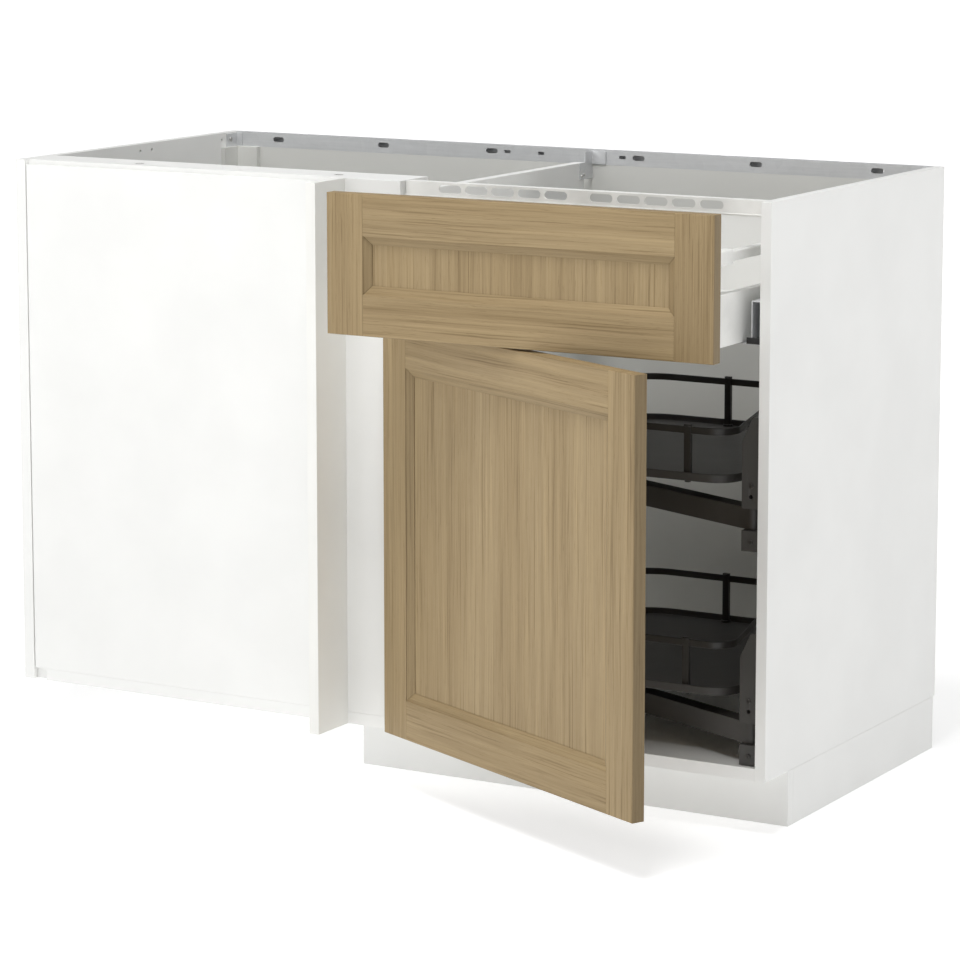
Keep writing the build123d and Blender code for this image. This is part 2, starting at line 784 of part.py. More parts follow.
def post_planes(z):
    """Planes of the railing posts, each with its x axis along the tray's edge."""
    planes = []
    for index, shares in enumerate(post_places_share):
        start = tray_corners[index]
        end = tray_corners[(index + 1) % len(tray_corners)]
        run = hypot(end[0] - start[0], end[1] - start[1])
        along = ((end[0] - start[0]) / run, (end[1] - start[1]) / run)
        for share in shares:
            planes.append(Plane(origin=(start[0] + share * run * along[0] - rail_inset * along[1],
                                        start[1] + share * run * along[1] + rail_inset * along[0],
                                        z),
                                x_dir=(along[0], along[1], 0), z_dir=(0, 0, 1)))
    return planes


z_levels = {"lower": z_floor + tray_bottom_rise, "upper": z_floor + tray_bottom_rise + tray_spacing}
for level, z_tray in z_levels.items():
    z_arm_low = z_tray - tray_bottom_rise + arm_rise
    z_arm_top = z_arm_low + arm_height
    z_bracket = z_tray - tray_bottom_rise + bracket_rise
    z_rail_top = z_tray + rail_height_over_floor
    with BuildPart() as bracket:
        with BuildSketch(Plane.XZ.offset(-y_front - bracket_setback)) as side_view:
            Polygon((x_in_right, z_bracket), (x_in_right, z_bracket + bracket_height),
                    (x_in_right - bracket_width + bracket_taper_width,
                     z_bracket + bracket_height),
                    (x_in_right - bracket_width,
                     z_bracket + bracket_height - bracket_taper_height),
                    (x_in_right - bracket_width, z_bracket), align=None)
        extrude(side_view.sketch, amount=-bracket_depth)
        block(x_in_right - bracket_width - overrun, x_in_right - bracket_wall,
              y_front + bracket_setback - overrun,
              y_front + bracket_setback + bracket_depth + overrun,
              z_arm_low - touch_gap, z_arm_top + touch_gap, mode=Mode.SUBTRACT)
        rod(x_pivot, y_pivot, z_arm_low - pin_engagement, z_arm_top + pin_engagement,
            pivot_pin_radius, mode=Mode.SUBTRACT)
        with BuildSketch(Plane.XZ.offset(-y_front - bracket_setback)) as front_hole:
            with Locations((x_in_right - bracket_width / 2, z_bracket + bracket_hole_rise)):
                Circle(bracket_hole_radius)
        extrude(front_hole.sketch, amount=-bracket_hole_depth, mode=Mode.SUBTRACT)
    save(bracket, level + "_tray_bracket")
    with BuildPart() as arm:
        with BuildSketch(Plane.XY.offset(z_arm_low)) as arm_outline:
            with Locations((x_pivot, y_pivot), (x_spindle, y_spindle)):
                Circle(arm_half_width)
            make_hull()
        extrude(arm_outline.sketch, amount=arm_height)
        with BuildSketch(Plane.XY.offset(z_arm_low - overrun)) as arm_hollow:
            with Locations((x_pivot, y_pivot), (x_spindle, y_spindle)):
                Circle(arm_half_width - arm_wall)
            make_hull()
            with Locations((x_pivot, y_pivot), (x_spindle, y_spindle)):
                Circle(arm_boss_radius, mode=Mode.SUBTRACT)
        extrude(arm_hollow.sketch, amount=arm_height - arm_wall + overrun, mode=Mode.SUBTRACT)
        rod(x_pivot, y_pivot, z_arm_low - overrun, z_arm_top + overrun,
            pivot_pin_radius + pin_play, mode=Mode.SUBTRACT)
    save(arm, level + "_swing_arm")
    with BuildPart() as spindle:
        rod(x_spindle, y_spindle, z_arm_top, z_tray - touch_gap, spindle_radius)
    save(spindle, level + "_tray_spindle")
    with BuildPart() as tray_floor:
        extrude(tray_face(z_tray, 0), amount=tray_lip_height)
        extrude(tray_face(z_tray + tray_floor_thickness, tray_lip_thickness),
                amount=tray_lip_height, mode=Mode.SUBTRACT)
        rod(x_spindle, y_spindle, z_arm_top + touch_gap, z_tray + tray_floor_thickness,
            tray_boss_radius)
        rod(x_spindle, y_spindle, z_arm_top, z_tray, spindle_radius + pin_play,
            mode=Mode.SUBTRACT)
    save(tray_floor, level + "_tray_floor")
    with BuildPart() as railing:
        extrude(tray_face(z_rail_top - rail_band_height, rail_inset - rail_band_thickness / 2),
                amount=rail_band_height)
        extrude(tray_face(z_rail_top - rail_band_height, rail_inset + rail_band_thickness / 2),
                amount=rail_band_height, mode=Mode.SUBTRACT)
    save(railing, level + "_tray_railing")
    with BuildPart() as posts:
        for post_plane in post_planes(z_tray + tray_floor_thickness):
            with BuildSketch(post_plane) as post_outline:
                Rectangle(tray_post_width, tray_post_depth)
            extrude(post_outline.sketch, amount=z_rail_top - z_tray)
        add(railing.part, mode=Mode.SUBTRACT)
    save(posts, level + "_tray_posts")

# Pivot pins through the brackets and the ends of the arms
with BuildPart() as tray_pivot_pins:
    for z_tray in z_levels.values():
        z_arm_low = z_tray - tray_bottom_rise + arm_rise
        rod(x_pivot, y_pivot, z_arm_low - pin_engagement, z_arm_low + arm_height + pin_engagement,
            pivot_pin_radius)
save(tray_pivot_pins, "tray_pivot_pins")

# Legs: fixed sockets under the bottom panel and feet that screw up and down
x_leg_left = x_left + leg_left_inset
x_leg_middle = x_stile_right - leg_middle_inset
x_leg_right = x_right - leg_right_inset
y_leg_back = y_back - leg_back_inset
leg_places = {
    "front_left": (x_leg_left, y_front + leg_blind_front_setback),
    "back_left": (x_leg_left, y_leg_back),
    "front_middle": (x_leg_middle, y_front + leg_front_setback),
    "back_middle": (x_leg_middle, y_leg_back),
    "front_right": (x_leg_right, y_front + leg_front_setback),
    "back_right": (x_leg_right, y_leg_back),
}
z_socket = z_bottom - leg_plate_thickness - leg_tube_length
z_rod_top = z_bottom - leg_plate_thickness - touch_gap
with BuildPart() as leg_sockets:
    for x, y in leg_places.values():
        with BuildSketch(Plane.XY.offset(z_bottom - leg_plate_thickness)) as plate:
            with Locations((x, y)):
                RectangleRounded(leg_plate_size, leg_plate_size, leg_plate_size / 7)
        extrude(plate.sketch, amount=leg_plate_thickness)
        rod(x, y, z_socket, z_bottom - leg_plate_thickness, leg_tube_radius)
        rod(x, y, z_socket, z_bottom - leg_plate_thickness, leg_tube_bore_radius,
            mode=Mode.SUBTRACT)
save(leg_sockets, "leg_sockets")

for place, (x, y) in leg_places.items():
    with BuildPart() as foot:
        rod(x, y, 0, foot_thickness, foot_radius)
        rod(x, y, foot_thickness, foot_thickness + foot_knob_height, foot_knob_radius)
        with BuildSketch(Plane.XY.offset(foot_thickness)) as grips:
            with Locations((x, y)):
                with PolarLocations(foot_knob_radius, foot_grip_count):
                    Circle(foot_grip_radius)
        extrude(grips.sketch, amount=foot_knob_height, mode=Mode.SUBTRACT)
        rod(x, y, foot_thickness, z_rod_top, leg_tube_bore_radius - leg_rod_play)
    save(foot, "foot_" + place)

# Plinth boards at the front and the right side
y_plinth = y_front + plinth_setback
with BuildPart() as plinth_front:
    block(x_filler - plinth_overlap, x_right, y_plinth, y_plinth + plinth_thickness, 0, z_bottom)
save(plinth_front, "plinth_front")

with BuildPart() as plinth_side:
    block(x_right - plinth_thickness, x_right, y_plinth + plinth_thickness,
          y_back - plinth_back_gap, 0, z_bottom)
save(plinth_side, "plinth_side")

# Clips that grip the leg sockets and hold the plinth boards
ring_inner = leg_tube_radius + clip_ring_play
ring_outer = ring_inner + clip_ring_wall
with BuildPart() as plinth_clips:
    for x, y, z_clip, along in ((x_leg_middle, y_front + leg_front_setback, clip_low_rise, "y"),
                                (x_leg_right, y_front + leg_front_setback, clip_low_rise, "y"),
                                (x_leg_right, y_front + leg_front_setback, clip_high_rise, "x"),
                                (x_leg_right, y_leg_back, clip_high_rise, "x")):
        rod(x, y, z_clip, z_clip + clip_ring_height, ring_outer)
        if along == "y":
            block(x - clip_stem_width / 2, x + clip_stem_width / 2, y_plinth + plinth_thickness,
                  y, z_clip, z_clip + clip_ring_height)
        else:
            block(x, x_right - plinth_thickness, y - clip_stem_width / 2,
                  y + clip_stem_width / 2, z_clip, z_clip + clip_ring_height)
        rod(x, y, z_clip, z_clip + clip_ring_height, ring_inner, mode=Mode.SUBTRACT)
save(plinth_clips, "plinth_clips")
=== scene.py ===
"""Corner base cabinet: finishes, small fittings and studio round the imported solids."""

import json
import logging
import math
from collections.abc import Iterable, Sequence
from dataclasses import dataclass, replace
from enum import Enum
from functools import cache

import bmesh
import bpy
from mathutils import Matrix, Vector


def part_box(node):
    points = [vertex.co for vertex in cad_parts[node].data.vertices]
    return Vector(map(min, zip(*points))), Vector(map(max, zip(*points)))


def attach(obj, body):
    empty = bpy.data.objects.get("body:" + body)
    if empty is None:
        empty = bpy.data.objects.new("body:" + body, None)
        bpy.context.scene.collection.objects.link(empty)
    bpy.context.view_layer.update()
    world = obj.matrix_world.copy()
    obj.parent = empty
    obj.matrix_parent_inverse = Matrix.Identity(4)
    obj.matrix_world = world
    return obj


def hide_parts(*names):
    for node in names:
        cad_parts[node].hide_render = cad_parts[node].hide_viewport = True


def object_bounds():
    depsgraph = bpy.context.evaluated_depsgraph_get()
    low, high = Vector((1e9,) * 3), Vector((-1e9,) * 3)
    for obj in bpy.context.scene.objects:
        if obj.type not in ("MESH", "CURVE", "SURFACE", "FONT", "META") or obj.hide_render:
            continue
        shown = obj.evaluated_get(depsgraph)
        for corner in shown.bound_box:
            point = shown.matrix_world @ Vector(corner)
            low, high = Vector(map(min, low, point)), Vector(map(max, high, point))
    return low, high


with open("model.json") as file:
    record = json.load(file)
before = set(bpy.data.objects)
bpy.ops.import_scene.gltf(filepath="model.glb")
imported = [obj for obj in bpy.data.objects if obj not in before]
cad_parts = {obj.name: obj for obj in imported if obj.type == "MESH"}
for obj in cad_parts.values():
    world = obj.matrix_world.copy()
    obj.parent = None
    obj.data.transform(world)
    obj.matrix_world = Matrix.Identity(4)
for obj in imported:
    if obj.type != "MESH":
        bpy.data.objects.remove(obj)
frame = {"nodes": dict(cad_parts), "record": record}
cad_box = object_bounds()

LOG = logging.getLogger("cabinet")
MM = 0.001
Socket = bpy.types.NodeSocket
Material = bpy.types.Material
Piece = bpy.types.Object
BMesh = bmesh.types.BMesh
Colour = tuple[float, float, float]
Stops = tuple[tuple[float, Colour], ...]
Place = tuple[float, float, float]
Box = tuple[Place, Place]
Pair = tuple[float, float]
Outline = tuple[Pair, Pair]
Named = tuple[tuple[str, float], ...]
PLAIN: Colour = (1.0, 1.0, 1.0)
BODY_OF = {node: body for body, nodes in frame["record"]["behaviour"]["bodies"].items() for node in nodes}
SLOT_OF = {part["node"]: part["material_slot"] for part in frame["record"]["subparts"]}
WELD = 1e-6
FLAT_ANGLE = math.radians(0.5)
SHARP_ANGLE = math.radians(35.0)
EDGE_SEGMENTS = 2
CAP_SEGMENTS = 3
SLEEVE_SEGMENTS = 4
SMOOTH, MEDIUM, RICH = 2.0, 3.0, 4.0    # the detail of a noise
MIX_SHARE, MIX_FIRST, MIX_SECOND, MIX_RESULT = 0, 6, 7, 2    # the Mix node's colour sockets
CARCASS_LEFT = -630.0
CARCASS_FRONT = -155.49
DOOR_OPEN_DEG = 25.5


def spot(x: float, y: float, z: float) -> Vector:
    """Turn millimetres from the left face, the carcass front and the floor into the row frame."""
    return Vector((CARCASS_LEFT + x, CARCASS_FRONT + y, z)) * MM


def tinted(colour: Colour, share: float, lift: float = 0.0) -> Colour:
    """Multiply a colour by a share and lift it a little."""
    return tuple(min(channel * share + lift, 1.0) for channel in colour)


class Grain(Enum):
    """The way the wood fibres run on a board."""

    UPRIGHT = 2
    ALONG = 0


class Side(Enum):
    """A direction that a face, cap or screw head looks in."""

    LEFT = (-1.0, 0.0, 0.0)
    RIGHT = (1.0, 0.0, 0.0)
    FRONT = (0.0, -1.0, 0.0)
    BACK = (0.0, 1.0, 0.0)
    DOWN = (0.0, 0.0, -1.0)
    UP = (0.0, 0.0, 1.0)

    def turn(self) -> Matrix:
        """Return the turn that takes the upward direction to this one."""
        return Vector(Side.UP.value).rotation_difference(Vector(self.value)).to_matrix().to_4x4()


class Graph:
    """A material's node tree, with short calls for the nodes that the finishes share."""

    def __init__(self, name: str) -> None:
        """Start a material that holds only its shader.

        Args:
            name: The material's name.
        """
        self.material = bpy.data.materials.new(name)
        self.material.use_nodes = True
        self.nodes = self.material.node_tree.nodes
        self.links = self.material.node_tree.links
        self.shader = self.nodes["Principled BSDF"]

    def add(self, kind: str, inputs: dict | None = None, **settings: object) -> bpy.types.Node:
        """Add a node.

        Args:
            kind: The node's type name.
            inputs: Values or sockets for the node's inputs, by name or index.
            settings: Values for the node's own attributes.

        Returns:
            The new node.
        """
        node = self.nodes.new(kind)
        for key, value in settings.items():
            setattr(node, key, value)
        for key, value in (inputs or {}).items():
            if isinstance(value, Socket):
                self.links.new(value, node.inputs[key])
            else:
                node.inputs[key].default_value = value
        return node

    def place(self, turn_deg: float = 0.0, shift: Sequence[float] = (0, 0, 0)) -> Socket:
        """Object coordinates turned about the upright axis.

        Args:
            turn_deg: The turn in degrees.
            shift: A shift in metres, so that no two boards show the same grain.

        Returns:
            The vector socket.
        """
        coordinates = self.add("ShaderNodeTexCoord")
        inputs = {"Vector": coordinates.outputs["Object"], "Location": shift,
                  "Rotation": (0, 0, math.radians(turn_deg))}
        return self.add("ShaderNodeMapping", inputs).outputs["Vector"]

    def stretch(self, place: Socket, scale: Sequence[float]) -> Socket:
        """Scale a vector on each axis and return the vector socket."""
        return self.add("ShaderNodeMapping", {"Vector": place, "Scale": scale}).outputs["Vector"]

    def warp(self, place: Socket, scale: float, amount: float) -> Socket:
        """Shift a vector by a slow noise, so that straight lines waver.

        Args:
            place: The vector socket.
            scale: The noise's scale.
            amount: The largest shift in metres.

        Returns:
            The vector socket.
        """
        cloud = self.add("ShaderNodeTexNoise", {"Vector": place, "Scale": scale, "Detail": SMOOTH})
        inputs = dict(enumerate((cloud.outputs["Color"], (amount, amount, amount), place)))
        return self.add("ShaderNodeVectorMath", inputs, operation="MULTIPLY_ADD").outputs["Vector"]

    def noise(self, place: Socket, scale: float, detail: float, roughness: float = 0.5) -> Socket:
        """Add a noise texture and return its factor socket."""
        inputs = {"Vector": place, "Scale": scale, "Detail": detail, "Roughness": roughness}
        return self.add("ShaderNodeTexNoise", inputs).outputs["Fac"]

    def ramp(self, value: Socket, stops: Stops) -> Socket:
        """Turn a factor into a colour.

        Args:
            value: The factor socket.
            stops: Places from 0 to 1, each with its colour.

        Returns:
            The colour socket.
        """
        node = self.add("ShaderNodeValToRGB", {"Fac": value})
        points = node.color_ramp.elements
        while len(points) < len(stops):
            points.new(0.5)
        for point, (position, colour) in zip(points, stops):
            point.position = position
            point.color = (*colour, 1.0)
        return node.outputs["Color"]

    def between(self, value: Socket, span: Pair, first: Colour, second: Colour) -> Socket:
        """Turn a factor into a colour that goes from one tone to another over a span of it."""
        return self.ramp(value, ((span[0], first), (span[1], second)))

    def multiply(self, share: float, first: Socket, second: Socket) -> Socket:
        """Multiply two colours by a share, and return the colour socket."""
        inputs = {MIX_SHARE: share, MIX_FIRST: first, MIX_SECOND: second}
        return self.add("ShaderNodeMix", inputs, data_type="RGBA", blend_type="MULTIPLY").outputs[MIX_RESULT]

    def scaled(self, value: Socket, low: float, high: float) -> Socket:
        """Spread a factor between two values and return the value socket."""
        inputs = {"Value": value, "To Min": low, "To Max": high}
        return self.add("ShaderNodeMapRange", inputs).outputs["Result"]

    def relief(self, height: Socket, depth: float, strength: float) -> None:
        """Give the surface a relief.

        Args:
            height: The height factor.
            depth: The relief's depth in metres.
            strength: How much of the relief shows.
        """
        inputs = {"Height": height, "Distance": depth, "Strength": strength}
        bump = self.add("ShaderNodeBump", inputs)
        self.links.new(bump.outputs["Normal"], self.shader.inputs["Normal"])

    def set(self, **values: object) -> Material:
        """Set the shader's sockets and return the material.

        Args:
            values: Socket names in lower case with underscores, with values or sockets.

        Returns:
            The material.
        """
        for key, value in values.items():
            name = key.replace("_", " ").title().replace("Ior", "IOR")
            socket = self.shader.inputs[name]
            if isinstance(value, Socket):
                self.links.new(value, socket)
            elif isinstance(value, tuple):
                socket.default_value = (*value, 1.0)
            else:
                socket.default_value = value
        return self.material


@dataclass(frozen=True)
class Streaks:
    """A noise that is drawn out along the grain."""

    squeeze: float
    scale: float
    detail: float = SMOOTH
    roughness: float = 0.5


@dataclass(frozen=True)
class OakVeneer:
    """Matt lacquered oak veneer with upright or level grain."""

    name: str
    grain: Grain
    turn_deg: float = 0.0
    shift: Place = (0.0, 0.0, 0.0)
    wave: float = 0.006
    wave_scale: float = 5.0
    leaves: Streaks = Streaks(0.02, 13.0)
    bands: Streaks = Streaks(0.022, 75.0, MEDIUM, 0.6)
    lines: Streaks = Streaks(0.012, 330.0, SMOOTH, 0.55)
    fibres: Streaks = Streaks(0.008, 950.0, RICH, 0.7)
    pores: Streaks = Streaks(0.03, 1500.0)
    leaf_tones: Stops = ((0.30, (0.372, 0.281, 0.156)), (0.52, (0.337, 0.250, 0.134)),
                         (0.72, (0.297, 0.216, 0.112)))
    band_tones: Stops = ((0.32, (1.07, 1.07, 1.06)), (0.5, PLAIN), (0.68, (0.86, 0.84, 0.80)))
    line_tones: Stops = ((0.30, (1.11, 1.11, 1.11)), (0.46, PLAIN), (0.58, (0.97, 0.96, 0.95)),
                         (0.70, (0.72, 0.69, 0.63)))
    fibre_tones: Stops = ((0.3, (1.05, 1.05, 1.05)), (0.68, (0.90, 0.89, 0.87)))
    pore_tones: Stops = ((0.30, (0.70, 0.66, 0.60)), (0.37, PLAIN))
    pore_share: float = 0.7
    pore_relief_share: float = 0.5
    relief_depth: float = 0.00012
    relief_strength: float = 0.5
    roughness_range: Pair = (0.46, 0.62)
    gloss: float = 0.3

    def darker(self, part: str, share: float) -> "OakVeneer":
        """Copy the veneer in a darker tone, used as painted shade on faces that look away from the light.

        Args:
            part: The words that the copy's name adds.
            share: The copy's share of the light that this one gives back.

        Returns:
            The copy.
        """
        tones = tuple((position, tinted(tone, share)) for position, tone in self.leaf_tones)
        return replace(self, name=self.name + part, leaf_tones=tones)

    def draw(self, graph: Graph, place: Socket, streaks: Streaks) -> Socket:
        """Draw streaks along the grain, by squeezing its long axis.

        Args:
            graph: The material's node tree.
            place: The vector socket.
            streaks: The streaks.

        Returns:
            The factor socket.
        """
        scale = [1.0, 1.0, 1.0]
        scale[self.grain.value] = streaks.squeeze
        return graph.noise(graph.stretch(place, scale), streaks.scale, streaks.detail, streaks.roughness)

    @cache
    def build(self) -> Material:
        """Make the material once.

        Returns:
            The material.
        """
        graph = Graph(self.name)
        place = graph.warp(graph.place(self.turn_deg, self.shift), self.wave_scale, self.wave)
        fibres = self.draw(graph, place, self.fibres)
        band_tone = graph.ramp(self.draw(graph, place, self.bands), self.band_tones)
        line_tone = graph.ramp(self.draw(graph, place, self.lines), self.line_tones)
        fibre_tone = graph.ramp(fibres, self.fibre_tones)
        pore_tone = graph.ramp(self.draw(graph, place, self.pores), self.pore_tones)
        colour = graph.ramp(self.draw(graph, place, self.leaves), self.leaf_tones)
        for tone in (band_tone, line_tone, fibre_tone):
            colour = graph.multiply(1.0, colour, tone)
        colour = graph.multiply(self.pore_share, colour, pore_tone)
        height = graph.multiply(self.pore_relief_share, line_tone, pore_tone)
        graph.relief(height, self.relief_depth, self.relief_strength)
        return graph.set(base_color=colour, roughness=graph.scaled(fibres, *self.roughness_range),
                         specular_ior_level=self.gloss)


@dataclass(frozen=True)
class MelamineBoard:
    """Melamine-faced board with a very fine orange-peel surface."""

    name: str
    colour: Colour
    roughness: float = 0.4
    mottling: float = 0.012
    cloud_scale: float = 7.0
    cloud_span: Pair = (0.35, 0.65)
    peel_scale: float = 1500.0
    peel_depth: float = 0.00003
    peel_strength: float = 0.35
    spread: float = 0.05
    gloss: float = 0.4

    @cache
    def build(self) -> Material:
        """Make the material once.

        Returns:
            The material.
        """
        graph = Graph(self.name)
        place = graph.place()
        peel = graph.noise(place, self.peel_scale, SMOOTH)
        colour = graph.between(graph.noise(place, self.cloud_scale, MEDIUM), self.cloud_span,
                               tinted(self.colour, 1.0 - 2.0 * self.mottling),
                               tinted(self.colour, 1.0 + self.mottling))
        graph.relief(peel, self.peel_depth, self.peel_strength)
        rough = graph.scaled(peel, self.roughness - self.spread, self.roughness + self.spread)
        return graph.set(base_color=colour, roughness=rough, specular_ior_level=self.gloss)


@dataclass(frozen=True)
class PowderCoat:
    """Powder coat on steel, with a fine pebbled surface."""

    name: str
    colour: Colour
    roughness: float = 0.42
    pebble_scale: float = 900.0
    pebble_roughness: float = 0.6
    pebble_depth: float = 0.00006
    pebble_strength: float = 0.6
    cloud_scale: float = 16.0
    cloud_span: Pair = (0.35, 0.7)
    worn_share: float = 1.18
    worn_lift: float = 0.004
    spread: float = 0.08
    gloss: float = 0.45

    @cache
    def build(self) -> Material:
        """Make the material once.

        Returns:
            The material.
        """
        graph = Graph(self.name)
        place = graph.place()
        pebbles = graph.noise(place, self.pebble_scale, MEDIUM, self.pebble_roughness)
        colour = graph.between(graph.noise(place, self.cloud_scale, RICH), self.cloud_span, self.colour,
                               tinted(self.colour, self.worn_share, self.worn_lift))
        graph.relief(pebbles, self.pebble_depth, self.pebble_strength)
        rough = graph.scaled(pebbles, self.roughness - self.spread, self.roughness + self.spread)
        return graph.set(base_color=colour, roughness=rough, specular_ior_level=self.gloss)


@dataclass(frozen=True)
class MouldedPlastic:
    """Moulded plastic with a spark-eroded grain."""

    name: str
    colour: Colour
    roughness: float = 0.5
    grain_scale: float = 1800.0
    grain_depth: float = 0.00005
    grain_strength: float = 0.5
    flow_scale: float = 22.0
    flow_span: Pair = (0.3, 0.75)
    flow_stretch: Place = (1.0, 1.0, 0.3)
    flow_share: float = 1.12
    flow_lift: float = 0.003
    smoother: float = 0.06
    rougher: float = 0.08
    gloss: float = 0.4

    @cache
    def build(self) -> Material:
        """Make the material once.

        Returns:
            The material.
        """
        graph = Graph(self.name)
        place = graph.place()
        grain = graph.noise(place, self.grain_scale, SMOOTH)
        flow = graph.noise(graph.stretch(place, self.flow_stretch), self.flow_scale, SMOOTH)
        colour = graph.between(flow, self.flow_span, self.colour,
                               tinted(self.colour, self.flow_share, self.flow_lift))
        graph.relief(grain, self.grain_depth, self.grain_strength)
        rough = graph.scaled(grain, self.roughness - self.smoother, self.roughness + self.rougher)
        return graph.set(base_color=colour, roughness=rough, specular_ior_level=self.gloss)


@dataclass(frozen=True)
class GalvanisedSteel:
    """Galvanised sheet steel with its spangle."""

    name: str
    dull: Colour = (0.68, 0.69, 0.70)
    bright: Colour = (0.71, 0.72, 0.73)
    spangle_scale: float = 90.0
    streak_scale: float = 320.0
    streak_stretch: Place = (0.05, 1.0, 1.0)
    streak_tones: Stops = ((0.35, (0.93, 0.93, 0.93)), (0.65, PLAIN))
    streak_share: float = 0.6
    streak_depth: float = 0.00004
    streak_strength: float = 0.4
    metallic: float = 0.5
    roughness_range: Pair = (0.38, 0.5)

    @cache
    def build(self) -> Material:
        """Make the material once.

        Returns:
            The material.
        """
        graph = Graph(self.name)
        place = graph.place()
        spangle = graph.add("ShaderNodeTexVoronoi", {"Vector": place, "Scale": self.spangle_scale})
        flakes = graph.add("ShaderNodeSeparateColor", {"Color": spangle.outputs["Color"]})
        streaks = graph.noise(graph.stretch(place, self.streak_stretch), self.streak_scale, MEDIUM)
        tone = graph.between(flakes.outputs["Red"], (0.0, 1.0), self.dull, self.bright)
        streak_tone = graph.ramp(streaks, self.streak_tones)
        graph.relief(streaks, self.streak_depth, self.streak_strength)
        return graph.set(base_color=graph.multiply(self.streak_share, tone, streak_tone),
                         roughness=graph.scaled(flakes.outputs["Green"], *self.roughness_range),
                         metallic=self.metallic)


@dataclass(frozen=True)
class NickelPlate:
    """Nickel plate with faint press marks."""

    name: str
    colour: Colour = (0.66, 0.65, 0.63)
    dull_share: float = 0.85
    roughness: float = 0.26
    mark_scale: float = 700.0
    mark_stretch: Place = (1.0, 0.08, 1.0)
    mark_depth: float = 0.00002
    mark_strength: float = 0.4
    cloud_scale: float = 60.0
    cloud_span: Pair = (0.3, 0.7)
    smoother: float = 0.06
    rougher: float = 0.12

    @cache
    def build(self) -> Material:
        """Make the material once.

        Returns:
            The material.
        """
        graph = Graph(self.name)
        place = graph.place()
        marks = graph.noise(graph.stretch(place, self.mark_stretch), self.mark_scale, MEDIUM)
        colour = graph.between(graph.noise(place, self.cloud_scale, MEDIUM), self.cloud_span,
                               tinted(self.colour, self.dull_share), self.colour)
        graph.relief(marks, self.mark_depth, self.mark_strength)
        rough = graph.scaled(marks, self.roughness - self.smoother, self.roughness + self.rougher)
        return graph.set(base_color=colour, roughness=rough, metallic=1.0)


@dataclass(frozen=True)
class StudioFloor:
    """Seamless pale studio paper, lit through from below, and more so far from the cabinet."""

    name: str
    colour: Colour = (0.74, 0.74, 0.74)
    paper_scale: float = 3.0
    paper_span: Pair = (0.3, 0.7)
    paper_share: float = 0.995
    roughness: float = 0.9
    gloss: float = 0.05
    near: float = 1.3
    far: float = 4.5
    glow_near: float = 0.54
    glow_far: float = 1.0

    def build(self) -> Material:
        """Make the material.

        Returns:
            The material.
        """
        graph = Graph(self.name)
        place = graph.place()
        colour = graph.between(graph.noise(place, self.paper_scale, SMOOTH), self.paper_span,
                               tinted(self.colour, self.paper_share), self.colour)
        reach = graph.add("ShaderNodeVectorMath", {0: place}, operation="LENGTH").outputs["Value"]
        inputs = {"Value": reach, "From Min": self.near, "From Max": self.far,
                  "To Min": self.glow_near, "To Max": self.glow_far}
        glow = graph.add("ShaderNodeMapRange", inputs).outputs["Result"]
        return graph.set(base_color=colour, roughness=self.roughness, specular_ior_level=self.gloss,
                         emission_color=PLAIN, emission_strength=glow)


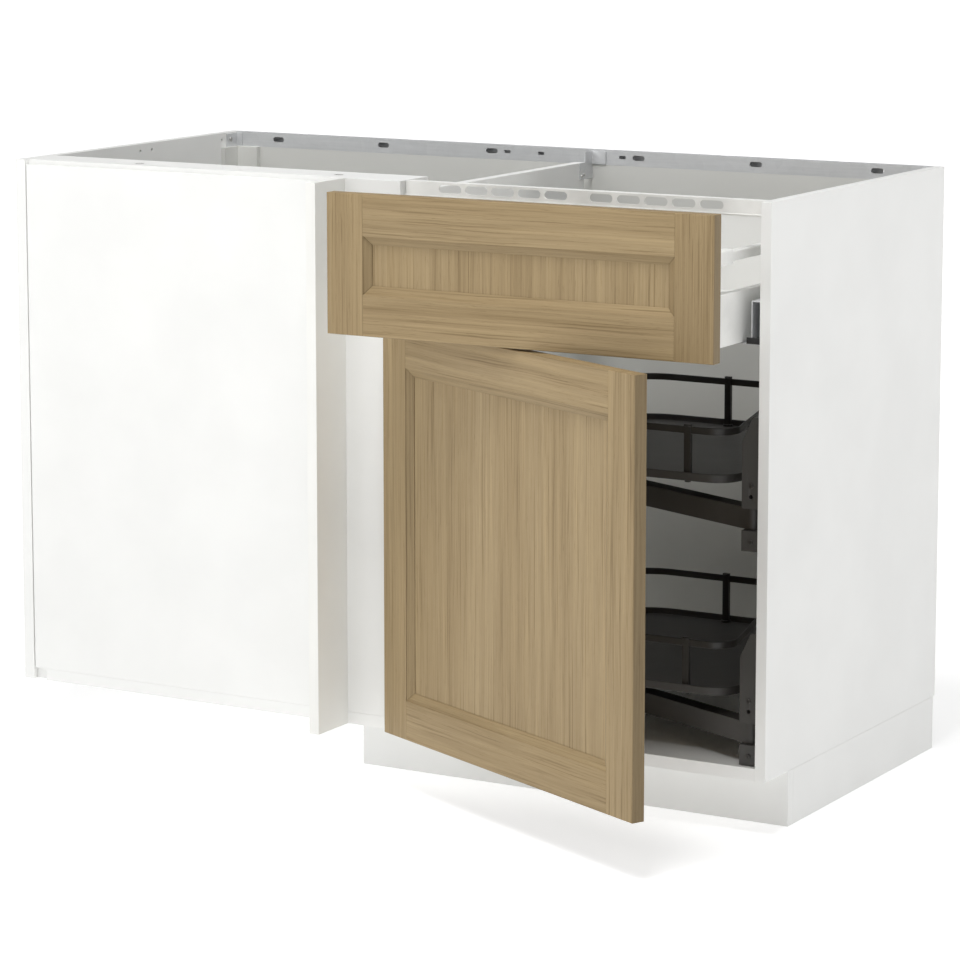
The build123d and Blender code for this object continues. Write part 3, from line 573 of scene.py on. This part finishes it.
class Bench:
    """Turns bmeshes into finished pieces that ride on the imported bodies."""

    @staticmethod
    def shape(name: str, mesh: BMesh) -> Piece:
        """Turn a bmesh into an object of the scene, in place.

        Args:
            name: The object's name.
            mesh: The shape; it is freed here.

        Returns:
            The object.
        """
        data = bpy.data.meshes.new(name)
        mesh.to_mesh(data)
        mesh.free()
        made = bpy.data.objects.new(name, data)
        bpy.context.scene.collection.objects.link(made)
        return made

    @staticmethod
    def piece(name: str, mesh: BMesh, material: Material, body: str, slot: str,
              faces_out: bool = False) -> Piece:
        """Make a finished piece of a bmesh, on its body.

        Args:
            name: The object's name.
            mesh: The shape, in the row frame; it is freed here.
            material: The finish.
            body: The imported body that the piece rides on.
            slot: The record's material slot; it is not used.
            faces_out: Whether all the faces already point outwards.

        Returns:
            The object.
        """
        if not faces_out:
            bmesh.ops.recalc_face_normals(mesh, faces=mesh.faces)
        made = Bench.shape(name, mesh)
        made.data.materials.append(material)
        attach(made, body)
        LOG.info("piece %s: %d faces", name, len(made.data.polygons))
        return made

    @staticmethod
    def soften(mesh: BMesh, edges: list[bmesh.types.BMEdge], radius: float, segments: int) -> None:
        """Round edges of a bmesh.

        Args:
            mesh: The bmesh.
            edges: The edges to round.
            radius: The edge radius.
            segments: The steps across each rounded edge.
        """
        bmesh.ops.bevel(mesh, geom=edges, offset=radius, segments=segments, profile=0.5,
                        affect="EDGES", material=-1)

    @staticmethod
    def slab(mesh: BMesh, low: Sequence[float], high: Sequence[float],
             rounding: float = 0.0, segments: int = EDGE_SEGMENTS) -> None:
        """Add a box to a bmesh, with rounded edges where it has a rounding.

        Args:
            mesh: The bmesh to add to.
            low: The lowest corner.
            high: The highest corner.
            rounding: The edge radius.
            segments: The steps across each rounded edge.
        """
        size = Vector(high) - Vector(low)
        middle = (Vector(high) + Vector(low)) / 2
        matrix = Matrix.Translation(middle) @ Matrix.Diagonal((*size, 1.0))
        corners = bmesh.ops.create_cube(mesh, size=1.0, matrix=matrix)["verts"]
        if rounding:
            edges = list({edge for corner in corners for edge in corner.link_edges})
            Bench.soften(mesh, edges, rounding, segments)

    @staticmethod
    def eased(nodes: Iterable[str], material: Material, width: float) -> list[Piece]:
        """Let pieces with eased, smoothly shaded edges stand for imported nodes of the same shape.

        Args:
            nodes: The nodes' names.
            material: The finish.
            width: The width of each eased edge.

        Returns:
            The pieces.
        """
        pieces = []
        for node in nodes:
            mesh = bmesh.new()
            mesh.from_mesh(frame["nodes"][node].data)
            bmesh.ops.remove_doubles(mesh, verts=mesh.verts, dist=WELD)
            bmesh.ops.dissolve_limit(mesh, angle_limit=FLAT_ANGLE, verts=mesh.verts, edges=mesh.edges)
            made = Bench.piece(node + "_eased", mesh, material, BODY_OF[node], SLOT_OF[node], True)
            made.data.shade_smooth()
            made.data.set_sharp_from_angle(angle=SHARP_ANGLE)
            edges = made.modifiers.new("eased edges", "BEVEL")
            edges.width = width
            edges.segments = EDGE_SEGMENTS
            edges.limit_method = "ANGLE"
            edges.angle_limit = SHARP_ANGLE
            edges.harden_normals = True
            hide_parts(node)
            pieces.append(made)
        return pieces

    @staticmethod
    def carve(made: Piece, tool: BMesh, crossed: bool = False) -> bpy.types.Mesh:
        """Cut a shape out of an object, after the object's own modifiers.

        Args:
            made: The object.
            tool: The shape to cut out; it is freed here.
            crossed: Whether parts of that shape cross each other.

        Returns:
            A mesh of what is left.
        """
        cutter = Bench.shape("cutter", tool)
        cut = made.modifiers.new("cut", "BOOLEAN")
        cut.operation = "DIFFERENCE"
        cut.solver = "EXACT"
        cut.use_self = crossed
        cut.object = cutter
        graph = bpy.context.evaluated_depsgraph_get()
        left = bpy.data.meshes.new_from_object(made.evaluated_get(graph))
        bpy.data.objects.remove(cutter)
        return left

    @staticmethod
    def pocket(made: Piece, boxes: Iterable[Sequence[Vector]]) -> None:
        """Cut box-shaped pockets into a piece.

        Args:
            made: The piece.
            boxes: Each pocket's lowest and highest corner.
        """
        tool = bmesh.new()
        for low, high in boxes:
            Bench.slab(tool, low, high)
        left = Bench.carve(made, tool)
        made.modifiers.clear()
        made.data = left

    @staticmethod
    def dress(nodes: Iterable[str], material: Material) -> None:
        """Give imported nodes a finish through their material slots.

        Args:
            nodes: The nodes' names.
            material: The finish.
        """
        for name in nodes:
            data = frame["nodes"][name].data
            if not data.materials:
                data.materials.append(material)
            for index in range(len(data.materials)):
                data.materials[index] = material
            LOG.info("node %s: %s", name, material.name)


@dataclass
class Finishes:
    """Every finish on the cabinet, each made once."""

    white: MelamineBoard = MelamineBoard("white melamine", (0.840, 0.842, 0.825))
    filler: MelamineBoard = MelamineBoard("filler melamine", (0.85, 0.85, 0.82))
    hardboard: MelamineBoard = MelamineBoard("back board", (0.68, 0.68, 0.65), 0.6)
    drawer_floor: MelamineBoard = MelamineBoard("drawer base", (0.78, 0.78, 0.76), 0.5, 0.02)
    white_steel: PowderCoat = PowderCoat("white powder coat", (0.78, 0.78, 0.755), 0.38, 700.0)
    dark_steel: PowderCoat = PowderCoat("anthracite powder coat", (0.026, 0.025, 0.023), 0.4)
    dark_plastic: MouldedPlastic = MouldedPlastic("anthracite plastic", (0.052, 0.050, 0.047), 0.5)
    arm_paint: PowderCoat = PowderCoat("arm paint", (0.042, 0.039, 0.035), 0.45)
    leg_plastic: MouldedPlastic = MouldedPlastic("leg plastic", (0.022, 0.022, 0.023), 0.45)
    zinc: GalvanisedSteel = GalvanisedSteel("galvanised steel")
    # A darker copy of the galvanised steel, used as painted shade inside the rear rail's channel.
    channel: GalvanisedSteel = GalvanisedSteel("shaded galvanised steel", (0.42, 0.42, 0.43),
                                               (0.48, 0.48, 0.49))
    fixing: MouldedPlastic = MouldedPlastic("fixing grey", (0.18, 0.18, 0.18), 0.5)
    nickel: NickelPlate = NickelPlate("nickel plate")
    door_upright: OakVeneer = OakVeneer("oak door stiles", Grain.UPRIGHT, DOOR_OPEN_DEG)
    door_level: OakVeneer = OakVeneer("oak door rails", Grain.ALONG, DOOR_OPEN_DEG, (0.2, 0.0, 0.3))
    door_panel: OakVeneer = OakVeneer("oak door panel", Grain.UPRIGHT, DOOR_OPEN_DEG, (1.4, 0.0, 0.8))
    drawer_upright: OakVeneer = OakVeneer("oak drawer stiles", Grain.UPRIGHT, 0.0, (0.37, 0.0, 1.7))
    drawer_level: OakVeneer = OakVeneer("oak drawer rails", Grain.ALONG, 0.0, (0.9, 0.0, 0.6))
    drawer_panel: OakVeneer = OakVeneer("oak drawer panel", Grain.UPRIGHT, 0.0, (2.3, 0.0, 1.1), 0.003)


@dataclass(frozen=True)
class Cap:
    """A short round cap with a rounded top edge, sized in millimetres."""

    radius: float
    height: float
    rounding: float
    sides: int = 28

    def stand(self, mesh: BMesh, seat: Vector, facing: Side) -> None:
        """Add the cap to a bmesh.

        Args:
            mesh: The bmesh to add to.
            seat: The centre of the cap's base.
            facing: The way that its top faces.
        """
        radius, height, rounding = self.radius * MM, self.height * MM, self.rounding * MM
        direction = Vector(facing.value)
        matrix = Matrix.Translation(seat + direction * height / 2) @ facing.turn()
        made = bmesh.ops.create_cone(mesh, cap_ends=True, segments=self.sides, radius1=radius,
                                     radius2=radius, depth=height, matrix=matrix)["verts"]
        top = seat + direction * height
        rim = [edge for edge in {e for vert in made for e in vert.link_edges}
               if all(abs((vert.co - top).dot(direction)) < rounding / 10 for vert in edge.verts)]
        Bench.soften(mesh, rim, rounding, CAP_SEGMENTS)


@dataclass(frozen=True)
class Screws:
    """Pan-head screws with a cross recess, sized in millimetres."""

    blank: Cap = Cap(3.6, 1.9, 0.9)
    recess_length: float = 3.8
    recess_width: float = 1.0
    recess_depth: float = 1.1
    spin_deg: float = 37.0

    def head(self) -> bpy.types.Mesh:
        """Make one head that stands on the origin and faces up.

        Returns:
            The head's mesh.
        """
        mesh = bmesh.new()
        self.blank.stand(mesh, Vector(), Side.UP)
        blank = Bench.shape("screw blank", mesh)
        cross = bmesh.new()
        bottom, top = self.blank.height - self.recess_depth, 2 * self.blank.height
        for length, width in ((self.recess_length, self.recess_width),
                              (self.recess_width, self.recess_length)):
            Bench.slab(cross, Vector((-length / 2, -width / 2, bottom)) * MM,
                       Vector((length / 2, width / 2, top)) * MM)
        head = Bench.carve(blank, cross, crossed=True)
        bpy.data.objects.remove(blank)
        return head

    def set_in(self, name: str, places: Sequence[tuple[Vector, Side]], material: Material,
               body: str, slot: str) -> Piece:
        """Make one piece of many screw heads.

        Args:
            name: The piece's name.
            places: Each head's seat and the way that it faces.
            material: The finish.
            body: The body that it rides on.
            slot: The record's material slot.

        Returns:
            The piece.
        """
        head = self.head()
        mesh = bmesh.new()
        for index, (seat, facing) in enumerate(places):
            spin = Matrix.Rotation(index * math.radians(self.spin_deg), 4, "Z")
            start = len(mesh.verts)
            mesh.from_mesh(head)
            mesh.verts.ensure_lookup_table()
            bmesh.ops.transform(mesh, matrix=Matrix.Translation(seat) @ facing.turn() @ spin,
                                verts=mesh.verts[start:])
        return Bench.piece(name, mesh, material, body, slot)


@dataclass
class Carcass:
    """Boards, rails and fittings that stand still."""

    finishes: Finishes
    screws: Screws
    small_screws: Screws = Screws(Cap(2.6, 1.2, 0.6), 2.8, 0.8, 0.7)
    board_edge: float = 0.5 * MM
    back_edge: float = 0.3 * MM
    rear_rail_edge: float = 0.4 * MM
    vent_rail_edge: float = 0.5 * MM
    bracket_edge: float = 0.3 * MM
    hinge_edge: float = 0.5 * MM
    end_cap_edge: float = 0.4 * MM
    plain_boards: tuple[str, ...] = ("blind_front_panel", "blind_front_batten", "front_stile",
                                     "hinge_post", "drawer_divider", "plinth_front", "plinth_side")
    side_fixings: tuple[Outline, ...] = (
        ((1245.0, 11.0), (1255.0, 15.0)), ((1245.0, 560.0), (1255.0, 564.0)))
    stretcher_fixings: tuple[Outline, ...] = (
        ((662.0, 12.0), (674.0, 15.0)), ((150.0, 24.0), (157.0, 27.0)),
        ((384.0, 24.0), (391.0, 27.0)), ((606.0, 30.0), (613.0, 33.0)))
    pocket_levels: Pair = (879.0, 881.0)
    fixing_levels: Pair = (878.5, 879.4)
    fixing_edge: float = 0.2 * MM
    notch_places: tuple[float, ...] = (141.0, 344.0, 540.0, 702.0, 900.0, 1097.0)
    notch: Box = ((-7.0, 585.5, 876.0), (7.0, 589.0, 881.0))
    strip: Box = ((18.5, 586.4, 858.2), (1243.5, 587.8, 877.6))
    strip_edge: float = 0.3 * MM
    slot_places: tuple[float, ...] = (100.0, 300.0, 500.0, 760.0, 960.0, 1160.0)
    strip_hole: Box = ((3.0, 585.0, 866.0), (10.0, 589.0, 873.0))
    vent_bead: Box = ((678.4, 11.0, 859.2), (1243.6, 12.4, 861.0))
    vent_bead_edge: float = 0.5 * MM
    hinge_levels: tuple[float, ...] = (139.5, 620.5)
    hinge_seat: Pair = (681.0, 37.0)
    hinge_screw_reach: float = 18.0
    end_seats: tuple[tuple[Place, Side], ...] = (((20.0, 552.0, 868.5), Side.RIGHT),
                                                 ((1242.0, 552.0, 868.5), Side.LEFT))
    bracket_seats: tuple[Place, ...] = ((680.0, 537.0, 841.5), (680.0, 544.5, 843.5))
    nail: Cap = Cap(1.8, 0.4, 0.2, 12)
    nail_inset: float = 9.0
    nail_spacing: float = 120.0
    divider_middle: float = 669.0

    @staticmethod
    def raised(outlines: Iterable[Outline], levels: Pair) -> list[tuple[Vector, Vector]]:
        """Raise outlines, seen from above, to boxes between two levels, and return their corners."""
        return [(spot(*low, levels[0]), spot(*high, levels[1])) for low, high in outlines]

    @staticmethod
    def row(places: Iterable[float], box: Box) -> list[tuple[Vector, Vector]]:
        """Repeat a box at places along a rail, and return the boxes' corners."""
        (x_low, *low), (x_high, *high) = box
        return [(spot(x + x_low, *low), spot(x + x_high, *high)) for x in places]

    def boards(self) -> None:
        """Give each board softened, edged corners, and pockets for its edge fixings."""
        white = self.finishes.white.build()
        for name in self.plain_boards:
            self.board(name, white, "white_board")
        self.board("filler_panel", self.finishes.filler.build(), "filler_board")
        side = self.board("right_side_panel", white, "white_board")
        Bench.pocket(side, self.raised(self.side_fixings, self.pocket_levels))
        Bench.eased(("left_side_panel", "bottom_panel"), white, self.board_edge)
        stretcher = Bench.eased(("top_stretcher",), white, self.board_edge)[0]
        Bench.pocket(stretcher, self.raised(self.stretcher_fixings, self.pocket_levels))
        Bench.eased(("back_panel", "rear_corner_strip"), self.finishes.hardboard.build(), self.back_edge)

    def board(self, node: str, material: Material, slot: str) -> Piece:
        """Replace a packed board by one with edged corners.

        Args:
            node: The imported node.
            material: The finish.
            slot: The record's material slot.

        Returns:
            The new board.
        """
        mesh = bmesh.new()
        Bench.slab(mesh, *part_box(node), self.board_edge)
        made = Bench.piece(node + "_edged", mesh, material, "cabinet", slot)
        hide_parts(node)
        return made

    def edge_fixings(self) -> None:
        """Sink the small dark fixings into the boards' top edges."""
        mesh = bmesh.new()
        for low, high in self.raised(self.side_fixings + self.stretcher_fixings, self.fixing_levels):
            Bench.slab(mesh, low, high, self.fixing_edge)
        Bench.piece("edge_fixings", mesh, self.finishes.fixing.build(), "cabinet", "fitting_metal")

    def rear_rail(self) -> None:
        """Notch the rear rail's top flange, and close its channel behind its slots with a strip whose darker
        steel paints the channel's shade.
        """
        rail = Bench.eased(("rear_suspension_rail",), self.finishes.zinc.build(), self.rear_rail_edge)[0]
        Bench.pocket(rail, self.row(self.notch_places, self.notch))
        mesh = bmesh.new()
        Bench.slab(mesh, *(spot(*corner) for corner in self.strip), self.strip_edge)
        # The strip's darker steel is painted shade inside the channel.
        strip = Bench.piece("rear_rail_strip", mesh, self.finishes.channel.build(), "cabinet",
                            "galvanised_steel")
        Bench.pocket(strip, self.row(self.slot_places, self.strip_hole))

    def vent_rail(self) -> None:
        """Ease the ventilated front rail and add a bead along its lower edge, where the steel is folded."""
        steel = self.finishes.white_steel.build()
        Bench.eased(("front_top_rail",), steel, self.vent_rail_edge)
        mesh = bmesh.new()
        Bench.slab(mesh, *(spot(*corner) for corner in self.vent_bead), self.vent_bead_edge)
        Bench.piece("front_rail_bead", mesh, steel, "cabinet", "white_steel")

    def screw_heads(self) -> None:
        """Set screws in the hinge plates, the end fittings and the divider bracket."""
        nickel = self.finishes.nickel.build()
        reach = self.hinge_screw_reach
        places = [(spot(*self.hinge_seat, level + rise), Side.RIGHT)
                  for level in self.hinge_levels for rise in (-reach, reach)]
        places += [(spot(*seat), facing) for seat, facing in self.end_seats]
        self.screws.set_in("fitting_screws", places, nickel, "cabinet", "fitting_metal")
        places = [(spot(*seat), Side.RIGHT) for seat in self.bracket_seats]
        made = self.small_screws.set_in("bracket_screws", places, nickel, "cabinet", "fitting_metal")
        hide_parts("fixing_screws")

    def nails(self) -> None:
        """Nail the back panel along its edges and to the divider."""
        low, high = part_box("back_panel")
        inset, spacing = self.nail_inset * MM, self.nail_spacing * MM
        left, right = low[0] + inset, high[0] - inset
        bottom, top = low[2] + inset, high[2] - inset
        across, up = round((right - left) / spacing), round((top - bottom) / spacing)
        seats = [(left + (right - left) * index / across, z)
                 for index in range(across + 1) for z in (bottom, top)]
        seats += [(x, bottom + (top - bottom) * index / up)
                  for index in range(1, up) for x in (left, spot(self.divider_middle, 0, 0).x, right)]
        mesh = bmesh.new()
        for x, z in seats:
            self.nail.stand(mesh, Vector((x, high[1], z)), Side.BACK)
        Bench.piece("back_nails", mesh, self.finishes.nickel.build(), "cabinet", "fitting_metal")

    def metalwork(self) -> None:
        """Finish the rails, brackets, hinge plates, cams and runner members."""
        self.rear_rail()
        self.vent_rail()
        Bench.eased(("rail_end_fittings", "divider_bracket", "runner_cabinet_members"),
                    self.finishes.zinc.build(), self.bracket_edge)
        nickel = self.finishes.nickel.build()
        Bench.eased(("hinge_plates", "hinge_arms"), nickel, self.hinge_edge)
        Bench.dress(("cam_fasteners",), nickel)
        Bench.eased(("runner_end_caps",), self.finishes.leg_plastic.build(), self.end_cap_edge)

    def build(self) -> None:
        """Make the carcass."""
        self.boards()
        self.edge_fixings()
        self.metalwork()
        self.screw_heads()
        self.nails()


@dataclass
class Fronts:
    """The door, the drawer front and the hinges' moving parts."""

    finishes: Finishes
    edge: float = 0.8 * MM
    panel_edge: float = 0.3 * MM
    hinge_edge: float = 0.4 * MM
    # Cosine limits and tone shares for darker faces: the stile edges that look right are partly a darker
    # edge band and partly painted shade, and the mouldings that look down and to the right carry painted
    # shade.
    edge_shade_cosines: Pair = (0.95, 1.01)
    moulding_shade_cosines: Pair = (0.2, 0.9)
    edge_shade_share: float = 0.67
    moulding_shade_share: float = 0.84

    def paint_shade_on_faces(self, made: Piece, outward: Vector, limits: Pair,
                    material: Material) -> None:
        """Give the faces of a piece that look one way their own finish.

        Args:
            made: The piece.
            outward: The way that the faces look.
            limits: The lowest and highest cosine between a face's normal and that way.
            material: The darker finish that paints the shade.
        """
        index = len(made.data.materials)
        made.data.materials.append(material)
        for face in made.data.polygons:
            if limits[0] < face.normal.dot(outward) < limits[1]:
                face.material_index = index

    def frame_and_panel(self, front: str, upright: OakVeneer, level: OakVeneer, panel: OakVeneer) -> None:
        """Finish one front; its stile edges that look right get a darker veneer, partly an edge band and
        partly painted shade, and its mouldings that look down and to the right get painted shade.

        Args:
            front: The start of its nodes' names.
            upright: The stiles' veneer.
            level: The rails' veneer.
            panel: The panel's veneer.
        """
        stiles = Bench.eased((front + "_stiles",), upright.build(), self.edge)[0]
        rails = Bench.eased((front + "_rails",), level.build(), self.edge)[0]
        Bench.eased((front + "_panel",), panel.build(), self.panel_edge)
        rightward = Matrix.Rotation(-math.radians(upright.turn_deg), 3, "Z") @ Vector(Side.RIGHT.value)
        # Darker veneer on the stile edges that look right: partly an edge band, partly painted shade.
        edge_band_and_shade = upright.darker(" edge", self.edge_shade_share).build()
        self.paint_shade_on_faces(stiles, rightward, self.edge_shade_cosines, edge_band_and_shade)
        # Darker veneer on the mouldings that look right and down: painted shade.
        upright_moulding_shade = upright.darker(" moulding", self.moulding_shade_share).build()
        self.paint_shade_on_faces(stiles, rightward, self.moulding_shade_cosines, upright_moulding_shade)
        level_moulding_shade = level.darker(" moulding", self.moulding_shade_share).build()
        self.paint_shade_on_faces(rails, Vector(Side.DOWN.value), self.moulding_shade_cosines, level_moulding_shade)

    def build(self) -> None:
        """Finish both fronts and the hinges' cups and links."""
        finishes = self.finishes
        self.frame_and_panel("door", finishes.door_upright, finishes.door_level, finishes.door_panel)
        self.frame_and_panel("drawer_front", finishes.drawer_upright, finishes.drawer_level,
                             finishes.drawer_panel)
        Bench.eased(("hinge_cups", "hinge_links"), finishes.nickel.build(), self.hinge_edge)


@dataclass
class Drawer:
    """The drawer box behind its front, with its runners."""

    finishes: Finishes
    side_edge: float = 1.8 * MM
    gallery_edge: float = 2.0 * MM
    fixing_edge: float = 0.5 * MM
    board_edge: float = 0.6 * MM
    runner_edge: float = 0.3 * MM
    mirror_x: float = 1922.0
    socket: Box = ((1202.0, -149.0, 797.0), (1217.5, -27.0, 818.0))
    socket_edge: float = 2.5 * MM
    cover: Box = ((1202.4, -148.8, 757.0), (1216.6, -27.0, 760.0))
    cover_edge: float = 1.2 * MM

    def sleeve(self, mesh: BMesh, box: Box, rounding: float) -> None:
        """Add a rounded sleeve on the right side and its mirror image on the left.

        Args:
            mesh: The bmesh to add to.
            box: The right sleeve's lowest and highest corner in working millimetres.
            rounding: The edge radius.
        """
        (x_low, *low), (x_high, *high) = box
        for left, right in ((x_low, x_high), (self.mirror_x - x_high, self.mirror_x - x_low)):
            Bench.slab(mesh, spot(left, *low), spot(right, *high), rounding, SLEEVE_SEGMENTS)

    def build(self) -> None:
        """Finish the drawer box and add its front sockets."""
        steel = self.finishes.white_steel.build()
        Bench.eased(("drawer_sides",), steel, self.side_edge)
        Bench.eased(("drawer_gallery_rails",), steel, self.gallery_edge)
        Bench.eased(("drawer_front_fixings",), steel, self.fixing_edge)
        Bench.eased(("drawer_back", "drawer_bottom"), self.finishes.drawer_floor.build(), self.board_edge)
        Bench.eased(("runner_middle_members", "runner_drawer_members"), self.finishes.zinc.build(),
                    self.runner_edge)
        mesh = bmesh.new()
        self.sleeve(mesh, self.socket, self.socket_edge)
        self.sleeve(mesh, self.cover, self.cover_edge)
        Bench.piece("gallery_sockets", mesh, steel, "drawer", "white_steel")


@dataclass
class Trays:
    """The two swing-out trays with their arms and brackets."""

    finishes: Finishes
    screws: Screws
    levels: Named = (("lower", 0.0), ("upper", 300.0))
    steel_edges: Named = (("_tray_railing", 1.6 * MM), ("_tray_posts", 0.3 * MM))
    plastic_edges: Named = (("_tray_floor", 1.5 * MM), ("_tray_bracket", 1.2 * MM))
    arm_edges: Named = (("_swing_arm", 2.0 * MM), ("_tray_spindle", 0.5 * MM))
    pin_edge: float = 0.4 * MM
    posts: tuple[Pair, ...] = ((801.5, 248.4), (973.7, 458.0), (1133.8, 246.2),
                                              (1118.0, 39.0), (880.2, 39.0))
    front_posts: tuple[Pair, ...] = posts[3:]
    spindle: Pair = (857.8, 184.3)
    floor_top: float = 187.0
    rail_top: float = 259.0
    lip_bottom: float = 184.0
    arm_bottom: float = 128.0
    collar: Cap = Cap(7.5, 3.0, 0.9)
    post_cap: Cap = Cap(5.0, 1.6, 0.7)
    stud: Cap = Cap(4.5, 3.0, 1.2)
    arm_plate: Cap = Cap(12.0, 3.0, 1.0)
    arm_nut: Cap = Cap(6.0, 2.0, 0.8)
    bracket_seats: tuple[Place, ...] = ((1230.0, 8.0, 112.0), (1230.0, 8.0, 190.0))

    def fittings(self, level: str, rise: float, steel: Material, paint: Material) -> None:
        """Add the posts' collars and caps, the front studs and the arm's end cap.

        Args:
            level: The tray's level.
            rise: The level's height over the lower one, in millimetres.
            steel: The posts' finish.
            paint: The arm's finish.
        """
        mesh = bmesh.new()
        for post in self.posts:
            self.collar.stand(mesh, spot(*post, self.floor_top + rise), Side.UP)
            self.post_cap.stand(mesh, spot(*post, self.rail_top + rise), Side.UP)
        for post in self.front_posts:
            self.stud.stand(mesh, spot(*post, self.lip_bottom + rise), Side.DOWN)
        Bench.piece(level + "_post_collars", mesh, steel, level + "_tray", "dark_steel")
        mesh = bmesh.new()
        under = self.arm_bottom + rise
        self.arm_plate.stand(mesh, spot(*self.spindle, under), Side.DOWN)
        self.arm_nut.stand(mesh, spot(*self.spindle, under - self.arm_plate.height), Side.DOWN)
        Bench.piece(level + "_arm_cap", mesh, paint, level + "_arm", "dark_steel")

    def build(self) -> None:
        """Finish both trays."""
        steel = self.finishes.dark_steel.build()
        plastic = self.finishes.dark_plastic.build()
        paint = self.finishes.arm_paint.build()
        seats = []
        for level, rise in self.levels:
            for material, edges in ((steel, self.steel_edges), (plastic, self.plastic_edges),
                                    (paint, self.arm_edges)):
                for part, width in edges:
                    Bench.eased((level + part,), material, width)
            self.fittings(level, rise, steel, paint)
            seats += [(spot(x, y, z + rise), Side.FRONT) for x, y, z in self.bracket_seats]
        self.screws.set_in("tray_bracket_screws", seats, paint, "cabinet", "dark_steel")
        Bench.eased(("tray_pivot_pins",), self.finishes.nickel.build(), self.pin_edge)


@dataclass
class Legs:
    """Sockets, feet and plinth clips under the cabinet."""

    finishes: Finishes
    edge: float = 0.8 * MM
    parts: tuple[str, ...] = ("leg_sockets", "plinth_clips", "foot_front_left", "foot_back_left",
                              "foot_front_middle", "foot_back_middle", "foot_front_right",
                              "foot_back_right")

    def build(self) -> None:
        """Finish the legs."""
        Bench.eased(self.parts, self.finishes.leg_plastic.build(), self.edge)


@dataclass
class Lamp:
    """One soft area light."""

    name: str
    place: Place
    size: float
    watts: float

    def hang(self, target: Vector) -> None:
        """Hang the lamp and aim it.

        Args:
            target: The point that the lamp faces.
        """
        light = bpy.data.lights.new(self.name, "AREA")
        light.shape = "SQUARE"
        light.size = self.size
        light.energy = self.watts
        made = bpy.data.objects.new(self.name, light)
        made.location = self.place
        made.rotation_euler = (target - Vector(self.place)).to_track_quat("-Z", "Y").to_euler()
        bpy.context.scene.collection.objects.link(made)


@dataclass
class Studio:
    """Camera, floor, sky and lamps."""

    camera_place: Place = (2.7554, -4.6194, 1.3967)
    yaw_deg: float = 29.995
    pitch_deg: float = 8.702
    focal_px: float = 3697.3
    shift_px: float = -102.0
    frame_px: float = 960.0
    sensor_mm: float = 36.0
    floor_size: float = 90.0
    horizon_sky: Colour = PLAIN
    upper_sky: Colour = (0.31, 0.31, 0.31)
    horizon_top: float = 0.05
    upper_start: float = 0.14
    lamps: tuple[Lamp, ...] = (Lamp("key lamp", (-2.6, -4.4, 3.4), 3.0, 54.0),
                               Lamp("right lamp", (4.6, 0.6, 1.8), 2.6, 14.0),
                               Lamp("top lamp", (0.2, -0.4, 4.4), 3.0, 46.0),
                               Lamp("well lamp", (0.45, -1.6, 4.4), 1.1, 78.0))

    def set_camera(self) -> None:
        """Place the camera at the photograph's viewpoint."""
        data = bpy.data.cameras.new("photo camera")
        data.sensor_width = self.sensor_mm
        data.lens = self.focal_px * self.sensor_mm / self.frame_px
        data.shift_y = self.shift_px / self.frame_px
        data.clip_end = 2.0 * self.floor_size
        made = bpy.data.objects.new("photo camera", data)
        made.location = self.camera_place
        tilt = math.radians(90.0 - self.pitch_deg)
        made.rotation_euler = (tilt, 0.0, math.radians(self.yaw_deg))
        bpy.context.scene.collection.objects.link(made)
        bpy.context.scene.camera = made

    def lay_floor(self) -> None:
        """Lay the pale floor."""
        mesh = bmesh.new()
        bmesh.ops.create_grid(mesh, x_segments=1, y_segments=1, size=self.floor_size / 2)
        made = Bench.shape("studio_floor", mesh)
        made.data.materials.append(StudioFloor("studio paper").build())

    def light(self) -> None:
        """Light the room with a pale sky, white at the horizon, and soft lamps."""
        world = bpy.data.worlds.new("white room")
        world.use_nodes = True
        nodes, links = world.node_tree.nodes, world.node_tree.links
        heading = nodes.new("ShaderNodeTexCoord")
        split = nodes.new("ShaderNodeSeparateXYZ")
        ramp = nodes.new("ShaderNodeValToRGB")
        links.new(heading.outputs["Generated"], split.inputs["Vector"])
        links.new(split.outputs["Z"], ramp.inputs["Fac"])
        links.new(ramp.outputs["Color"], nodes["Background"].inputs["Color"])
        stops = ((self.horizon_top, self.horizon_sky), (self.upper_start, self.upper_sky))
        for point, (position, colour) in zip(ramp.color_ramp.elements, stops):
            point.position = position
            point.color = (*colour, 1.0)
        bpy.context.scene.world = world
        bpy.context.scene.view_settings.view_transform = "Standard"
        low, high = (Vector(corner) for corner in cad_box)
        for lamp in self.lamps:
            lamp.hang((low + high) / 2)

    def build(self) -> None:
        """Set up the studio."""
        self.set_camera()
        self.lay_floor()
        self.light()


def main() -> None:
    """Build every sub-assembly in order."""
    logging.basicConfig(level=logging.INFO, format="%(name)s %(message)s")
    finishes = Finishes()
    screws = Screws()
    Studio().build()
    Carcass(finishes, screws).build()
    Fronts(finishes).build()
    Drawer(finishes).build()
    Trays(finishes, screws).build()
    Legs(finishes).build()


if __name__ == "__main__":
    main()
